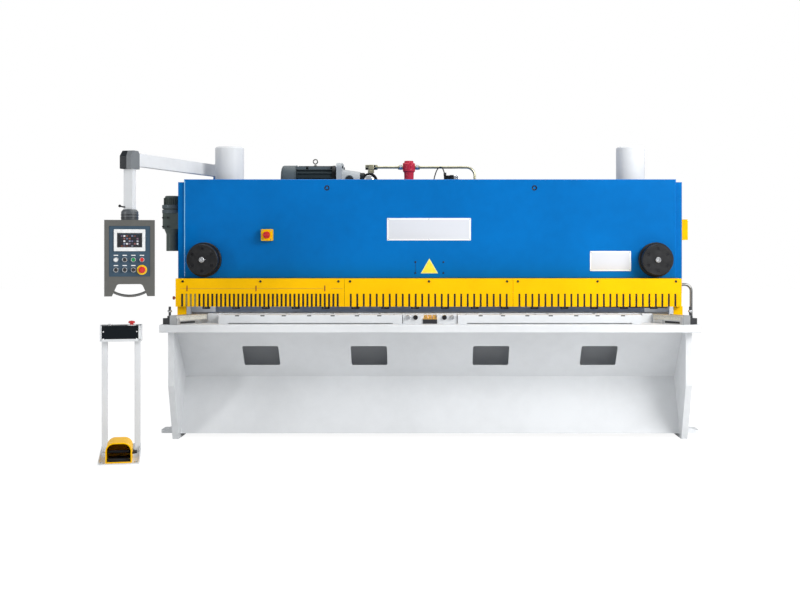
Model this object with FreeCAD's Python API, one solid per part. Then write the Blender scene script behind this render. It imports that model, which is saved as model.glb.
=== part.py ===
import FreeCAD, Part
import math
import os

from FreeCAD import Vector

# Hydraulic guillotine shear for sheet metal: two side frames joined by a table
# beam below and a hold-down beam above, with a blade beam that two upright
# cylinders drive down past a fixed lower blade. A control box hangs on a
# swinging arm at the left, and a pedal stand is set in front of the arm.
# Millimetres. X runs to the right along the blades, Y to the rear, Z up.
# The origin is on the floor, in the middle of the four anchor bolts.

# Side frames
bed_width = 3300.0  # clear width between the side frames
frame_thick = 40.0
frame_height = 1696.0
table_z = 762.0  # top of the table plate
table_thick = 50.0
leg_front_y = -950.0
leg_knee_z = 364.0
foot_front_y = -810.0
upper_front_y = -630.0  # front edge of the frames above the throat
throat_back_y = -400.0
throat_top_z = 950.0
frame_rear_y = 600.0
top_rear_y = 380.0
rear_knee_z = 1150.0
foot_length = 300.0
arch_height = 50.0
corner_round = 40.0

# Anchor lugs on the outside of the feet
anchor_y = 470.0  # front and rear lugs lie this far from the origin
lug_reach = 134.0
lug_length = 150.0
lug_thick = 22.0
lug_web = 12.0
lug_web_rise = 40.0
anchor_inset = 70.0  # from the frame's outer face to the bolt
anchor_hole_r = 14.0

# Table
table_front_y = -1030.0
table_overhang = 40.0  # past the outer face of each side frame
blade_plane_y = -550.0  # the two blades meet in this plane
bench_front_y = -905.0
bench_thick = 52.0
bench_gap = 5.0  # shadow gap between the bench and the table plate
bench_inner_x = 180.0
bench_outer_x = 1372.0
bench_foot_width = 60.0
seat_front_y = -780.0
seat_thick = 60.0  # blade seat bar, from the table plate up
seat_end_gap = 185.0  # from the side frames to the ends of the seat bar
notch_first_x = 400.0  # middle of the notch nearest to the junction
notch_pitch = 308.0
notch_width = 150.0
notch_depth_y = 70.0
notch_drop = 14.0
notch_round = 18.0
notch_count = 4  # on each half

# Front apron, a plate folded in a shallow V
apron_thick = 16.0
apron_top_y = -850.0
apron_fold_y = -560.0
apron_fold_z = 388.0
apron_foot_y = -745.0
apron_foot_z = 28.0
window_width = 240.0
window_top_z = 606.0
window_foot_z = 470.0
window_round = 12.0
window_x = (-1123.0, -405.0, 405.0, 1123.0)
web_thick = 20.0  # rear wall of the table beam
web_y = -430.0
web_foot_z = 120.0
web_flange = 90.0

# Blades
blade_thick = 22.0
blade_height = 80.0
blade_lap = 10.0  # the beam's lower edge lies this far above the blade's
blade_length = 3220.0
blade_clearance = 5.0  # sideways, between the lower blade and the blade beam
upper_blade_lift = 24.0  # lowest point of the upper blade above the bench
rake_rise = 56.0  # how much higher the upper blade is at its left end
beam_thick = 60.0
beam_top_z = 1560.0
beam_side_gap = 30.0
beam_stroke = 100.0
beam_rib_thick = 20.0
beam_rib_depth = 120.0
beam_rib_count = 7
beam_rib_margin = 120.0
beam_shelf_thick = 24.0
beam_rib_foot_z = 960.0
ear_width = 200.0
ear_thick = 60.0
ear_top_z = 1450.0
ear_lip = 15.0  # past the rod, to the rear
ear_web_drop = 130.0
guide_gap = 5.0  # between the beam and its guide bars
guide_bar_depth = 30.0
guide_bar_width = 26.0

# Front cover and hold-down beam
panel_top_z = 1715.0
panel_foot_z = 1052.0
panel_proud = 14.0  # in front of the side frames' edges
panel_thick = 6.0
panel_side_gap = 1.0
panel_bend = 8.0
lift_hole_r = 16.0
lift_hole_x = (-690.0, 700.0)
lift_hole_drop = 58.0
hold_beam_thick = 25.0
hold_beam_foot_z = 960.0
hold_beam_top_z = 1300.0
hold_count = 16
hold_pitch = 200.0
hold_y = -638.0
hold_body_r = 34.0
hold_body_foot_z = 900.0
hold_body_top_z = 1005.0
hold_shelf_thick = 8.0
plunger_r = 22.0
plunger_fit = 0.5
foot_r = 27.0
foot_thick = 16.0
foot_lift = 24.0  # pads above the bench at rest

# Guide covers on the front, one at each end
guide_x = 1510.0
guide_z = 1176.0
guide_flange_r = 116.0
guide_flange_thick = 30.0
guide_cap_r = 104.0
guide_cap_thick = 70.0
guide_bolt_circle_r = 74.0
guide_bolt_r = 9.0
guide_bolt_depth = 8.0
guide_boss_r = 17.0
guide_boss_proud = 10.0

# Finger guard in three sections
guard_y = -744.0
guard_thick = 5.0
guard_left_x = -1684.0
guard_right_x = 1665.0
guard_top_z = 1052.0
guard_foot_z = 866.0
slot_top_z = 952.0
fine_slot_pitch = 28.6
fine_slot_width = 14.0
coarse_slot_pitch = 43.0
coarse_slot_width = 13.0
section_margin = 34.0
section_gap = 2.0
guard_return = 40.0
cheek_thick = 8.0
cheek_edge = 10.0  # from the frame's outer face
cheek_width = 60.0

# Switch box on the front cover
isolator_x = -1088.0
isolator_z = 1341.0
isolator_size = 77.0
isolator_depth = 42.0
isolator_knob_r = 24.0

# Main cylinders
cylinder_x = 1380.0
cylinder_y = -410.0
cylinder_r = 98.0
cylinder_length = 290.0
cylinder_cap_edge = 6.0
rod_r = 45.0
rod_fit = 0.5
rod_guard = 5.0  # between the rod and the hole in the bridge
rod_room = 60.0
bridge_gusset = 120.0
bridge_thick = 40.0
bridge_drop = 40.0  # below the top of the frames
bridge_end = 60.0  # plain end of the bridge past its gusset
bridge_front_y = -520.0
bridge_rear_y = -250.0

# Oil tank and power unit
tank_front_y = -240.0
tank_rear_y = 250.0
tank_half_x = 1050.0
tank_foot_z = 1260.0
tank_top_z = 1600.0
tank_wall = 6.0
tank_lid_thick = 10.0
tank_lid_edge = 12.0
tank_rail = 60.0
tank_rail_inset = 30.0
motor_y = -60.0
motor_r = 105.0
motor_z = 1738.0
motor_left_x = -1058.0
motor_right_x = -663.0
motor_shield = 26.0
cowl_length = 105.0
fin_count = 20
fin_height = 12.0
fin_thick = 5.0
flange_half = 121.0  # the square plate between the motor and the bell
flange_round = 34.0
bell_left_x = -624.0
bell_right_x = -500.0
bell_left_r = 80.0
bell_right_r = 62.0
pump_right_x = -459.0
pump_r = 56.0
fitting_x = -423.0
fitting_half = 36.0
fitting_r = 18.0
pipe_r = 9.0
pipe_z = 1833.0
pipe_y = -60.0
filter_x = -151.0
filter_r = 30.0
filter_head_r = 44.0
filter_top_z = 1877.0
filter_head_height = 82.0
pipe_drop_x = 320.0
pipe_bend_r = 60.0
valve_x = 132.0
valve_width = 65.0
valve_depth = 90.0
valve_top_z = 1773.0
valve_nut_r = 19.0
valve_nut_z = 1760.0
valve_nut_length = 43.0
solenoid_r = 24.0
solenoid_length = 70.0

# Blade gap drive on the left frame and terminal box on the right frame
drive_y = -500.0
drive_x_offset = 66.0  # from the frame's outer face to the drive's centre line
drive_drop = 87.0  # below the top of the frames
drive_cap_height = 68.0
drive_ring_height = 48.0
drive_groove = 4.0
drive_box_height = 109.0
drive_neck = 35.0
drive_tail_length = 115.0
drive_cap_r = 52.0
drive_flange_r = 64.0
drive_body = 112.0
drive_tail_r = 40.0
terminal_y = -560.0
terminal_foot_z = 1309.0
terminal_height = 139.0
terminal_length = 90.0
terminal_depth = 54.0

# Back gauge
gauge_rail_x = 1100.0
gauge_rail_width = 60.0
gauge_rail_height = 80.0
gauge_rail_top_z = 700.0
gauge_bar_y = 120.0
gauge_bar_foot_z = 770.0
gauge_bar_height = 90.0
gauge_bar_thick = 50.0
gauge_bar_half = 1560.0
gauge_carriage = 120.0
rear_tube = 120.0
rear_tube_wall = 8.0
rear_tube_z = 560.0
rear_tube_inset = 60.0  # from the rear edge of the frames

# Squaring arms on the ends of the table
arm_bar_length = 280.0
arm_bar_width = 60.0
arm_bar_height = 60.0
arm_bar_turn = 34.0  # degrees from the blade's normal
arm_bar_x = 1645.0
arm_bar_y = -1012.0
arm_groove = 16.0
arm_block = 62.0
arm_clamp_height = 40.0
arm_screw_r = 8.0
arm_screw_height = 74.0

# Junction in the middle of the bench
joint_setback = 12.0
joint_gap = 4.0
middle_block_half = 46.0
middle_block_height = 34.0
brass_r = 11.0
nut_height = 22.0

# Bent tube at the right end of the guard
air_r = 9.5
air_top_z = 1012.0
air_reach = 67.0
air_bend_r = 42.0

# Pendant arm
swing_x = -1500.0
swing_y = -110.0
swing_post_r = 45.0
swing_pin_r = 22.0
arm_rise = 104.0  # middle of the arm above the top of the frames
arm_height = 80.0
arm_width = 50.0
swing_fit = 0.4
swing_gap = 2.0
hang_x = -1845.0
hang_y = -1330.0
elbow_size = 108.0
elbow_bevel = 34.0
elbow_width = 76.0
elbow_rise = 51.0  # above the middle of the arm
elbow_drop = 62.0  # below the middle of the arm
drop_width = 60.0
drop_depth = 44.0
drop_length = 248.0
hub_r = 52.0
hub_height = 64.0
box_gap = 2.0
stub_r = 30.0
stub_recess = 10.0

# Control box
box_width = 300.0
box_depth = 150.0
box_turn = 13.0  # towards the operator, counter-clockwise from above
box_height = 465.0
box_wall = 4.0
box_cover_thick = 3.0
inset_side = 28.0
inset_top = 37.0
inset_foot = 345.0
inset_deep = 3.0
mouth_foot_half = 106.0
mouth_top_half = 74.0
mouth_height = 74.0
mouth_round = 22.0
mouth_grip_half = 100.0
handle_rise = 28.0
bezel_width = 186.0
bezel_height = 133.0
bezel_top = 57.0
bezel_side = 18.0
bezel_edge = 22.0
bezel_proud = 9.0
button_x = (-81.0, -29.0, 22.0, 73.0)
button_row_1 = 242.0
button_row_2 = 304.0
button_r = 14.0
handle_r = 8.0
handle_sag = 26.0

# Pedal stand
stand_x = -1800.0
stand_front_y = -1785.0
stand_turn = 12.0  # about the middle of its front edge, counter-clockwise from above
stand_width = 235.0
stand_depth = 500.0
stand_base_thick = 6.0
stand_rim = 46.0  # at the rear
stand_rim_front = 10.0
post_size = 36.0
post_spread = 195.0
post_back = 34.0
desk_z = 684.0
desk_height = 98.0
desk_width = 250.0
desk_depth = 130.0
desk_slope = 24.0
desk_stop_dx = 62.0
desk_wall = 5.0
desk_sheet = 4.0
mushroom_r = 20.0
shroud_width = 150.0
shroud_height = 118.0
shroud_length = 235.0
shroud_wall = 7.0
shroud_front = 15.0
shroud_round = 50.0
treadle_thick = 12.0
treadle_angle = 9.0
treadle_width = 118.0
treadle_length = 178.0
treadle_rise = 28.0
treadle_pivot_r = 9.0
treadle_side_gap = 0.3

half_bed = bed_width / 2
outer_x = half_bed + frame_thick
bench_top = table_z + bench_gap + bench_thick
seat_top = table_z + seat_thick
beam_front = blade_plane_y + blade_clearance + blade_thick
hold_beam_front = upper_front_y + 30.0
hold_beam_rear = hold_beam_front + hold_beam_thick
ear_x = cylinder_x
bridge_top_z = frame_height - bridge_drop
cylinder_top_z = bridge_top_z + cylinder_length
lid_top = tank_top_z + tank_lid_thick
arm_z = frame_height + arm_rise
arm_foot_z = arm_z - arm_height / 2
elbow_foot_z = arm_z - elbow_drop
drop_foot_z = elbow_foot_z - drop_length
hub_foot_z = drop_foot_z - hub_height
box_top_z = hub_foot_z - box_gap
arm_reach = math.hypot(hang_x - swing_x, hang_y - swing_y)
arm_heading = math.degrees(math.atan2(hang_y - swing_y, hang_x - swing_x))
desk_front_y = stand_front_y + stand_depth - post_back - post_size / 2 - desk_depth / 2
shroud_y = stand_front_y + shroud_front
treadle_y = shroud_y + shroud_length - shroud_wall - 20.0
treadle_z = stand_base_thick + shroud_wall + treadle_rise


def block(x0, x1, y0, y1, z0, z1):
    """A rectangular block between two corners."""
    return Part.makeBox(x1 - x0, y1 - y0, z1 - z0, Vector(x0, y0, z0))


def rod(radius, start, end):
    """A round bar from one point to another."""
    a, b = Vector(*start), Vector(*end)
    return Part.makeCylinder(radius, (b - a).Length, a, b - a)


def plate_x(points, x0, x1):
    """A plate whose outline is given as (y, z) points, from x0 to x1."""
    wire = Part.makePolygon([Vector(x0, y, z) for y, z in points + points[:1]])
    return Part.Face(wire).extrude(Vector(x1 - x0, 0, 0))


def plate_y(points, y0, y1):
    """A plate whose outline is given as (x, z) points, from y0 to y1."""
    wire = Part.makePolygon([Vector(x, y0, z) for x, z in points + points[:1]])
    return Part.Face(wire).extrude(Vector(0, y1 - y0, 0))


def plate_z(points, z0, z1):
    """A plate whose outline is given as (x, y) points, from z0 to z1."""
    wire = Part.makePolygon([Vector(x, y, z0) for x, y in points + points[:1]])
    return Part.Face(wire).extrude(Vector(0, 0, z1 - z0))


def turned(profile, x, y, axis="z"):
    """A turned piece: the profile holds (radius, height) points from the axis out and back."""
    wire = Part.makePolygon([Vector(r, 0, h) for r, h in profile + profile[:1]])
    solid = Part.Face(wire).revolve(Vector(0, 0, 0), Vector(0, 0, 1), 360)
    if axis == "x":
        solid.rotate(Vector(0, 0, 0), Vector(0, 1, 0), 90)
    if axis == "-y":
        solid.rotate(Vector(0, 0, 0), Vector(1, 0, 0), 90)
    solid.translate(Vector(x, y, 0))
    return solid


def rounded(solid, radius, wanted):
    """Rounds the edges for which wanted(edge) is true."""
    return solid.makeFillet(radius, [e for e in solid.Edges if wanted(e)])


def runs_along(edge, axis):
    """True for a straight edge that lies along X, Y or Z."""
    if len(edge.Vertexes) != 2:
        return False
    step = edge.Vertexes[1].Point - edge.Vertexes[0].Point
    return abs(abs(getattr(step, axis)) - step.Length) < 1e-6


def fused(solids):
    """The solids as one, with the seams between them removed."""
    return solids[0].multiFuse(solids[1:]).removeSplitter()


def mirrored(solid):
    """The same piece on the other side of the machine."""
    return solid.mirror(Vector(0, 0, 0), Vector(1, 0, 0))


def pair(solid):
    """The piece and its mirror image, as one shape of separate solids."""
    return Part.makeCompound(solid.Solids + mirrored(solid).Solids)


def row(count, pitch):
    """Evenly spaced places about zero."""
    return [(i - (count - 1) / 2) * pitch for i in range(count)]


def side_frame():
    """The right side frame: a plate with a throat for the sheet, and its two lugs."""
    rear_foot = frame_rear_y - foot_length
    front_foot = foot_front_y + foot_length
    outline = [
        (foot_front_y, 0),
        (leg_front_y, leg_knee_z),
        (leg_front_y, table_z - table_thick),
        (throat_back_y, table_z - table_thick),
        (throat_back_y, throat_top_z),
        (upper_front_y, throat_top_z),
        (upper_front_y, frame_height),
        (top_rear_y, frame_height),
        (frame_rear_y, rear_knee_z),
        (frame_rear_y, 0),
        (rear_foot, 0),
        (rear_foot - arch_height, arch_height),
        (front_foot + arch_height, arch_height),
        (front_foot, 0),
    ]
    plate = plate_x(outline, half_bed, outer_x)
    softened = {(throat_back_y, table_z - table_thick), (throat_back_y, throat_top_z),
                (top_rear_y, frame_height), (frame_rear_y, rear_knee_z)}
    plate = rounded(plate, corner_round, lambda e: runs_along(e, "x")
                    and (round(e.CenterOfMass.y, 3), round(e.CenterOfMass.z, 3)) in softened)
    return fused([plate, cylinder_bridge()] + [lug(y) for y in (-anchor_y, anchor_y)])


def lug(y):
    """An anchor lug with its bolt hole and two slanted webs."""
    tip = outer_x + lug_reach
    half = lug_length / 2
    foot = block(outer_x, tip, y - half, y + half, 0, lug_thick)
    foot = rounded(foot, 20.0, lambda e: runs_along(e, "z") and e.CenterOfMass.x > tip - 1)
    hole = rod(anchor_hole_r, (outer_x + anchor_inset, y, -1), (outer_x + anchor_inset, y, lug_thick + 1))
    web = [(outer_x, lug_thick), (tip - 30.0, lug_thick), (outer_x, lug_thick + lug_web_rise)]
    webs = [plate_y(web, y - half, y - half + lug_web), plate_y(web, y + half - lug_web, y + half)]
    return fused([foot] + webs).cut(hole)


def table_plate():
    """The thick table plate that lies on both side frames."""
    end = outer_x + table_overhang
    plate = block(-end, end, table_front_y, blade_plane_y, table_z - table_thick, table_z)
    return rounded(plate, 6.0, lambda e: e.CenterOfMass.y < table_front_y + 1 and runs_along(e, "x"))


def blade_seat():
    """The bar that carries the lower blade, with a row of hand notches along its front."""
    end = half_bed - seat_end_gap
    rear = blade_plane_y - blade_thick
    bar = block(-end, end, seat_front_y, rear, table_z, seat_top)
    half = notch_width / 2
    places = [notch_first_x + i * notch_pitch for i in range(notch_count)]
    for x in [-place for place in places] + places:
        notch = block(x - half, x + half, seat_front_y - 1, seat_front_y + notch_depth_y,
                      seat_top - notch_drop, seat_top + 1)
        notch = rounded(notch, notch_round,
                        lambda e: runs_along(e, "z") and e.CenterOfMass.y > seat_front_y)
        bar = bar.cut(notch)
    return bar


def lower_blade():
    """The fixed blade, bolted to the rear of its seat, with its four long edges square."""
    end = blade_length / 2
    return block(-end, end, blade_plane_y - blade_thick, blade_plane_y, table_z, seat_top)


def bench():
    """The right half of the bench: a cover plate on feet, level with the blade seat."""
    rear = seat_front_y
    plate = block(bench_inner_x, bench_outer_x, bench_front_y, rear, table_z + bench_gap, bench_top)
    plate = rounded(plate, 5.0, lambda e: runs_along(e, "x") and e.CenterOfMass.y < bench_front_y + 1
                    and e.CenterOfMass.z > bench_top - 1)
    feet = [block(x, x + bench_foot_width, bench_front_y, rear, table_z, table_z + bench_gap)
            for x in (bench_inner_x, bench_outer_x - bench_foot_width)]
    return fused([plate] + feet)


def apron():
    """The folded front plate between the legs, with four windows cut in its upper half."""
    inner = [
        (apron_top_y, table_z - table_thick),
        (apron_fold_y, apron_fold_z),
        (apron_foot_y, apron_foot_z),
    ]
    outer = [(y + apron_thick, z) for y, z in reversed(inner)]
    plate = plate_x(inner + outer, -half_bed, half_bed)
    for x in window_x:
        plate = plate.cut(window(x))
    return plate


def window(x):
    """The cutter for one apron window: a block with rounded corners that runs front to back."""
    half = window_width / 2
    cutter = block(x - half, x + half, apron_top_y - 50, apron_fold_y + 50, window_foot_z, window_top_z)
    return rounded(cutter, window_round, lambda e: runs_along(e, "y"))


def beam_web():
    """The upright rear wall of the table beam, with a foot flange."""
    wall = block(-half_bed, half_bed, web_y, web_y + web_thick, web_foot_z, table_z - table_thick)
    flange = block(-half_bed, half_bed, web_y, web_y + web_flange, web_foot_z, web_foot_z + web_thick)
    return fused([wall, flange])


def front_panel():
    """The tall front cover: a sheet with its four edges folded back."""
    x = half_bed - panel_side_gap
    front = upper_front_y - panel_proud
    rear = hold_beam_front
    shell = block(-x, x, front, rear, panel_foot_z, panel_top_z)
    shell = rounded(shell, panel_bend, lambda e: e.CenterOfMass.y < front + 1)
    hollow = block(-x + panel_thick, x - panel_thick, front + panel_thick, rear + 1,
                   panel_foot_z + panel_thick, panel_top_z - panel_thick)
    shell = shell.cut(hollow)
    for hole_x in lift_hole_x:
        z = panel_top_z - lift_hole_drop
        shell = shell.cut(rod(lift_hole_r, (hole_x, front - 1, z), (hole_x, front + panel_thick + 1, z)))
    return shell


def hold_beam():
    """The upright plate behind the front cover that carries the hold-down cylinders."""
    front = hold_beam_front
    plate = block(-half_bed, half_bed, front, hold_beam_rear, hold_beam_foot_z, hold_beam_top_z)
    shelf = block(-half_bed, half_bed, hold_y - hold_body_r, front, hold_body_top_z, hold_body_top_z + hold_shelf_thick)
    return fused([plate, shelf])


def hold_cylinders():
    """The row of short hold-down cylinders, open at the foot for their plungers."""
    bodies = []
    for x in row(hold_count, hold_pitch):
        body = rod(hold_body_r, (x, hold_y, hold_body_foot_z), (x, hold_y, hold_body_top_z))
        bore = rod(plunger_r + plunger_fit, (x, hold_y, hold_body_foot_z - 1), (x, hold_y, hold_body_top_z - 12.0))
        bodies.append(body.cut(bore))
    return Part.makeCompound(bodies)


def plungers():
    """The plungers and their round pads, which press the sheet on the bench."""
    pad_z = seat_top + foot_lift
    made = []
    for x in row(hold_count, hold_pitch):
        pad = rod(foot_r, (x, hold_y, pad_z), (x, hold_y, pad_z + foot_thick))
        pad = pad.makeChamfer(3.0, [e for e in pad.Edges if e.Closed and e.CenterOfMass.z < pad_z + 1])
        stem = rod(plunger_r, (x, hold_y, pad_z + foot_thick), (x, hold_y, hold_body_top_z - 30.0))
        made.append(pad.fuse(stem))
    return Part.makeCompound(made)


def blade_beam():
    """The moving beam: a plate with a raked lower edge, a top shelf, rear ribs and two ears."""
    end = half_bed - beam_side_gap
    front = beam_front
    rear = front + beam_thick
    low = seat_top + upper_blade_lift + blade_lap
    outline = [(-end, low + rake_rise), (end, low), (end, beam_top_z), (-end, beam_top_z)]
    solids = [plate_y(outline, front, rear)]
    span = 2 * (ear_x - ear_width / 2 - beam_rib_margin)
    for x in row(beam_rib_count, span / (beam_rib_count - 1)):
        half = beam_rib_thick / 2
        rib = [
            (rear, beam_rib_foot_z),
            (rear + beam_rib_depth, beam_rib_foot_z + beam_rib_depth),
            (rear + beam_rib_depth, beam_top_z - beam_shelf_thick),
            (rear, beam_top_z - beam_shelf_thick),
        ]
        solids.append(plate_x(rib, x - half, x + half))
    solids.append(block(-span / 2 - beam_rib_thick / 2, span / 2 + beam_rib_thick / 2, rear,
                        rear + beam_rib_depth, beam_top_z - beam_shelf_thick, beam_top_z))
    for x in (-ear_x, ear_x):
        solids.append(block(x - ear_width / 2, x + ear_width / 2, rear, cylinder_y + rod_r + ear_lip,
                            ear_top_z - ear_thick, ear_top_z))
        web = [(rear, ear_top_z - ear_thick), (cylinder_y + rod_r, ear_top_z - ear_thick),
               (rear, ear_top_z - ear_thick - ear_web_drop)]
        for side in (-1, 1):
            edge = x + side * (ear_width - beam_rib_thick) / 2
            solids.append(plate_x(web, edge - beam_rib_thick / 2, edge + beam_rib_thick / 2))
    return fused(solids)


def upper_blade():
    """The raked blade on the front of the beam."""
    half = blade_length / 2
    low = seat_top + upper_blade_lift
    slope = rake_rise / (2 * (half_bed - beam_side_gap))
    drop = slope * (half_bed - beam_side_gap - half)
    right = low + drop
    left = low + rake_rise - drop
    outline = [(-half, left), (half, right), (half, right + blade_height), (-half, left + blade_height)]
    return plate_y(outline, beam_front - blade_thick, beam_front)


def beam_guides():
    """The four guide bars on the frames' inner faces, before and behind the beam's ends."""
    bars = []
    rear = beam_front + beam_thick
    for y0, y1 in ((hold_beam_rear, beam_front - guide_gap), (rear + guide_gap, rear + guide_gap + guide_bar_depth)):
        bar = block(half_bed - guide_bar_width, half_bed, y0, y1, hold_beam_foot_z, beam_top_z)
        bars += [bar, mirrored(bar)]
    return Part.makeCompound(bars)


def cylinder_bridge():
    """The right bridge: a thick bracket inside the frame that the main cylinder stands on."""
    inner = cylinder_x - ear_width / 2
    plate = block(inner, half_bed, bridge_front_y, bridge_rear_y, bridge_top_z - bridge_thick, bridge_top_z)
    gusset = [(half_bed, bridge_top_z - bridge_thick), (inner + bridge_end, bridge_top_z - bridge_thick),
              (half_bed, bridge_top_z - bridge_thick - bridge_gusset)]
    web = plate_y(gusset, bridge_rear_y - beam_rib_thick, bridge_rear_y)
    hole = rod(rod_r + rod_guard, (cylinder_x, cylinder_y, bridge_top_z - bridge_thick - 1),
               (cylinder_x, cylinder_y, bridge_top_z + 1))
    return fused([plate, web]).cut(hole)


def main_cylinder():
    """The right main cylinder: a plain round barrel, bored from below for its rod."""
    barrel = turned([(0, bridge_top_z), (cylinder_r, bridge_top_z), (cylinder_r, cylinder_top_z - cylinder_cap_edge),
                     (cylinder_r - cylinder_cap_edge, cylinder_top_z), (0, cylinder_top_z)],
                    cylinder_x, cylinder_y)
    bore_top = cylinder_top_z - rod_room
    bore = rod(rod_r + rod_fit, (cylinder_x, cylinder_y, bridge_top_z - 1), (cylinder_x, cylinder_y, bore_top))
    return barrel.cut(bore)


def piston_rods():
    """The two piston rods, which stand on the beam's ears."""
    top = cylinder_top_z - 2 * rod_room
    return Part.makeCompound([rod(rod_r, (x, cylinder_y, ear_top_z), (x, cylinder_y, top))
                              for x in (-cylinder_x, cylinder_x)])


def guide_cover():
    """The right guide cover: a flange and a bolted cap with a centre boss, all turned."""
    face = upper_front_y - panel_proud
    flange_face = guide_flange_thick
    cap_face = flange_face + guide_cap_thick
    cover = turned([(0, 0), (guide_flange_r, 0), (guide_flange_r, flange_face - 4.0),
                    (guide_flange_r - 4.0, flange_face), (guide_cap_r, flange_face),
                    (guide_cap_r, cap_face - 5.0), (guide_cap_r - 5.0, cap_face),
                    (guide_boss_r, cap_face), (guide_boss_r, cap_face + guide_boss_proud),
                    (0, cap_face + guide_boss_proud)], 0, 0, "-y")
    cover.translate(Vector(guide_x, face, guide_z))
    for i in range(6):
        angle = math.radians(30 + 60 * i)
        x = guide_x + guide_bolt_circle_r * math.cos(angle)
        z = guide_z + guide_bolt_circle_r * math.sin(angle)
        cover = cover.cut(rod(guide_bolt_r, (x, face - cap_face - 1, z), (x, face - cap_face + guide_bolt_depth, z)))
    return cover


def isolator():
    """The small switch box on the front cover, with its rounded edges."""
    face = upper_front_y - panel_proud
    half = isolator_size / 2
    box = block(isolator_x - half, isolator_x + half, face - isolator_depth, face,
                isolator_z - half, isolator_z + half)
    return rounded(box, 5.0, lambda e: runs_along(e, "y"))


def isolator_knob():
    """The round grip of the switch box, with its raised bar."""
    face = upper_front_y - panel_proud - isolator_depth
    disc = rod(isolator_knob_r, (isolator_x, face, isolator_z), (isolator_x, face - 10.0, isolator_z))
    grip = block(isolator_x - 7.0, isolator_x + 7.0, face - 26.0, face - 10.0,
                 isolator_z - isolator_knob_r + 3.0, isolator_z + isolator_knob_r - 3.0)
    return fused([disc, grip])


def guard_section(index, pitch, width):
    """One of the three guard sections: a slotted plate, with its outer end folded back."""
    length = (guard_right_x - guard_left_x) / 3
    x0 = guard_left_x + index * length + (section_gap if index else 0)
    x1 = guard_left_x + (index + 1) * length
    front = block(x0, x1, guard_y, guard_y + guard_thick, guard_foot_z, guard_top_z)
    solids = [front]
    if index == 0:
        solids.append(block(x0, x0 + guard_thick, guard_y, guard_y + guard_return, guard_foot_z, guard_top_z))
    if index == 2:
        solids.append(block(x1 - guard_thick, x1, guard_y, guard_y + guard_return, guard_foot_z, guard_top_z))
    section = fused(solids)
    count = int((x1 - x0 - 2 * section_margin) / pitch) + 1
    middle = (x0 + x1) / 2
    slots = [block(middle + x - width / 2, middle + x + width / 2, guard_y - 1, guard_y + guard_thick + 1,
                   guard_foot_z - 1, slot_top_z) for x in row(count, pitch)]
    return section.cut(Part.makeCompound(slots))


def guard_shelf():
    """The flat shelf under the front cover that the guard sections hang from."""
    z0 = guard_top_z - guard_thick
    shelf = block(guard_left_x, guard_right_x, guard_y + guard_thick, upper_front_y, z0, guard_top_z)
    ends = [block(x0, x1, guard_y, guard_y + guard_return, z0 - 1, guard_top_z + 1)
            for x0, x1 in ((guard_left_x - 1, guard_left_x + guard_thick),
                           (guard_right_x - guard_thick, guard_right_x + 1))]
    tongue = block(-half_bed, half_bed, upper_front_y, hold_beam_front, z0, guard_top_z)
    return fused([shelf, tongue]).cut(Part.makeCompound(ends))


def guard_cheek():
    """The right end guard, a folded plate that stands on the table under the comb."""
    x1 = outer_x - cheek_edge
    x0 = x1 - cheek_width
    y0 = guard_y + guard_return
    y1 = upper_front_y - panel_proud
    side = block(x1 - cheek_thick, x1, y0, y1, table_z, guard_foot_z)
    face = block(x0, x1, y0, y0 + cheek_thick, table_z, guard_foot_z)
    return fused([side, face])


def tank():
    """The welded oil tank between the frames, open under its lid."""
    wall = tank_wall
    shell = block(-tank_half_x, tank_half_x, tank_front_y, tank_rear_y, tank_foot_z, tank_top_z)
    oil = block(-tank_half_x + wall, tank_half_x - wall, tank_front_y + wall, tank_rear_y - wall,
                tank_foot_z + wall, tank_top_z + 1)
    return shell.cut(oil)


def tank_lid():
    """The flat lid, which overhangs the tank's walls and carries the pump set."""
    edge = tank_lid_edge
    return block(-tank_half_x - edge, tank_half_x + edge, tank_front_y - edge, tank_rear_y + edge,
                 tank_top_z, lid_top)


def tank_rails():
    """The two square tubes under the tank, which also tie the frames."""
    rails = []
    for y in (tank_front_y + tank_rail_inset, tank_rear_y - tank_rail_inset - tank_rail):
        tube = block(-half_bed, half_bed, y, y + tank_rail, tank_foot_z - tank_rail, tank_foot_z)
        hollow = block(-half_bed - 1, half_bed + 1, y + tank_wall, y + tank_rail - tank_wall,
                       tank_foot_z - tank_rail + tank_wall, tank_foot_z - tank_wall)
        rails.append(tube.cut(hollow))
    return rails


def motor():
    """The finned motor body on its foot, lying along X."""
    x0 = motor_left_x + cowl_length
    core = rod(motor_r - fin_height, (x0, motor_y, motor_z), (motor_right_x, motor_y, motor_z))
    fin_end = motor_right_x - motor_shield
    solids = [core]
    for i in range(fin_count):
        fin = block(x0 + 12.0, fin_end, motor_y + motor_r - fin_height - 6.0, motor_y + motor_r,
                    motor_z - fin_thick / 2, motor_z + fin_thick / 2)
        fin.rotate(Vector(0, motor_y, motor_z), Vector(1, 0, 0), 360.0 / fin_count * (i + 0.5))
        solids.append(fin)
    shield = rod(motor_r, (fin_end, motor_y, motor_z), (motor_right_x, motor_y, motor_z))
    foot = block(x0 + 40.0, motor_right_x - 50.0, motor_y - 80.0, motor_y + 80.0, lid_top, motor_z - motor_r + 20.0)
    solids += [shield, foot, motor_cowl()]
    return fused(solids)


def motor_cowl():
    """The fan cowl at the motor's left end."""
    x0, x1 = motor_left_x, motor_left_x + cowl_length
    cowl = turned([(0, x0), (motor_r - 14.0, x0), (motor_r, x0 + 14.0), (motor_r, x1), (0, x1)], 0, 0, "x")
    cowl.translate(Vector(0, motor_y, motor_z))
    return cowl


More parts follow.
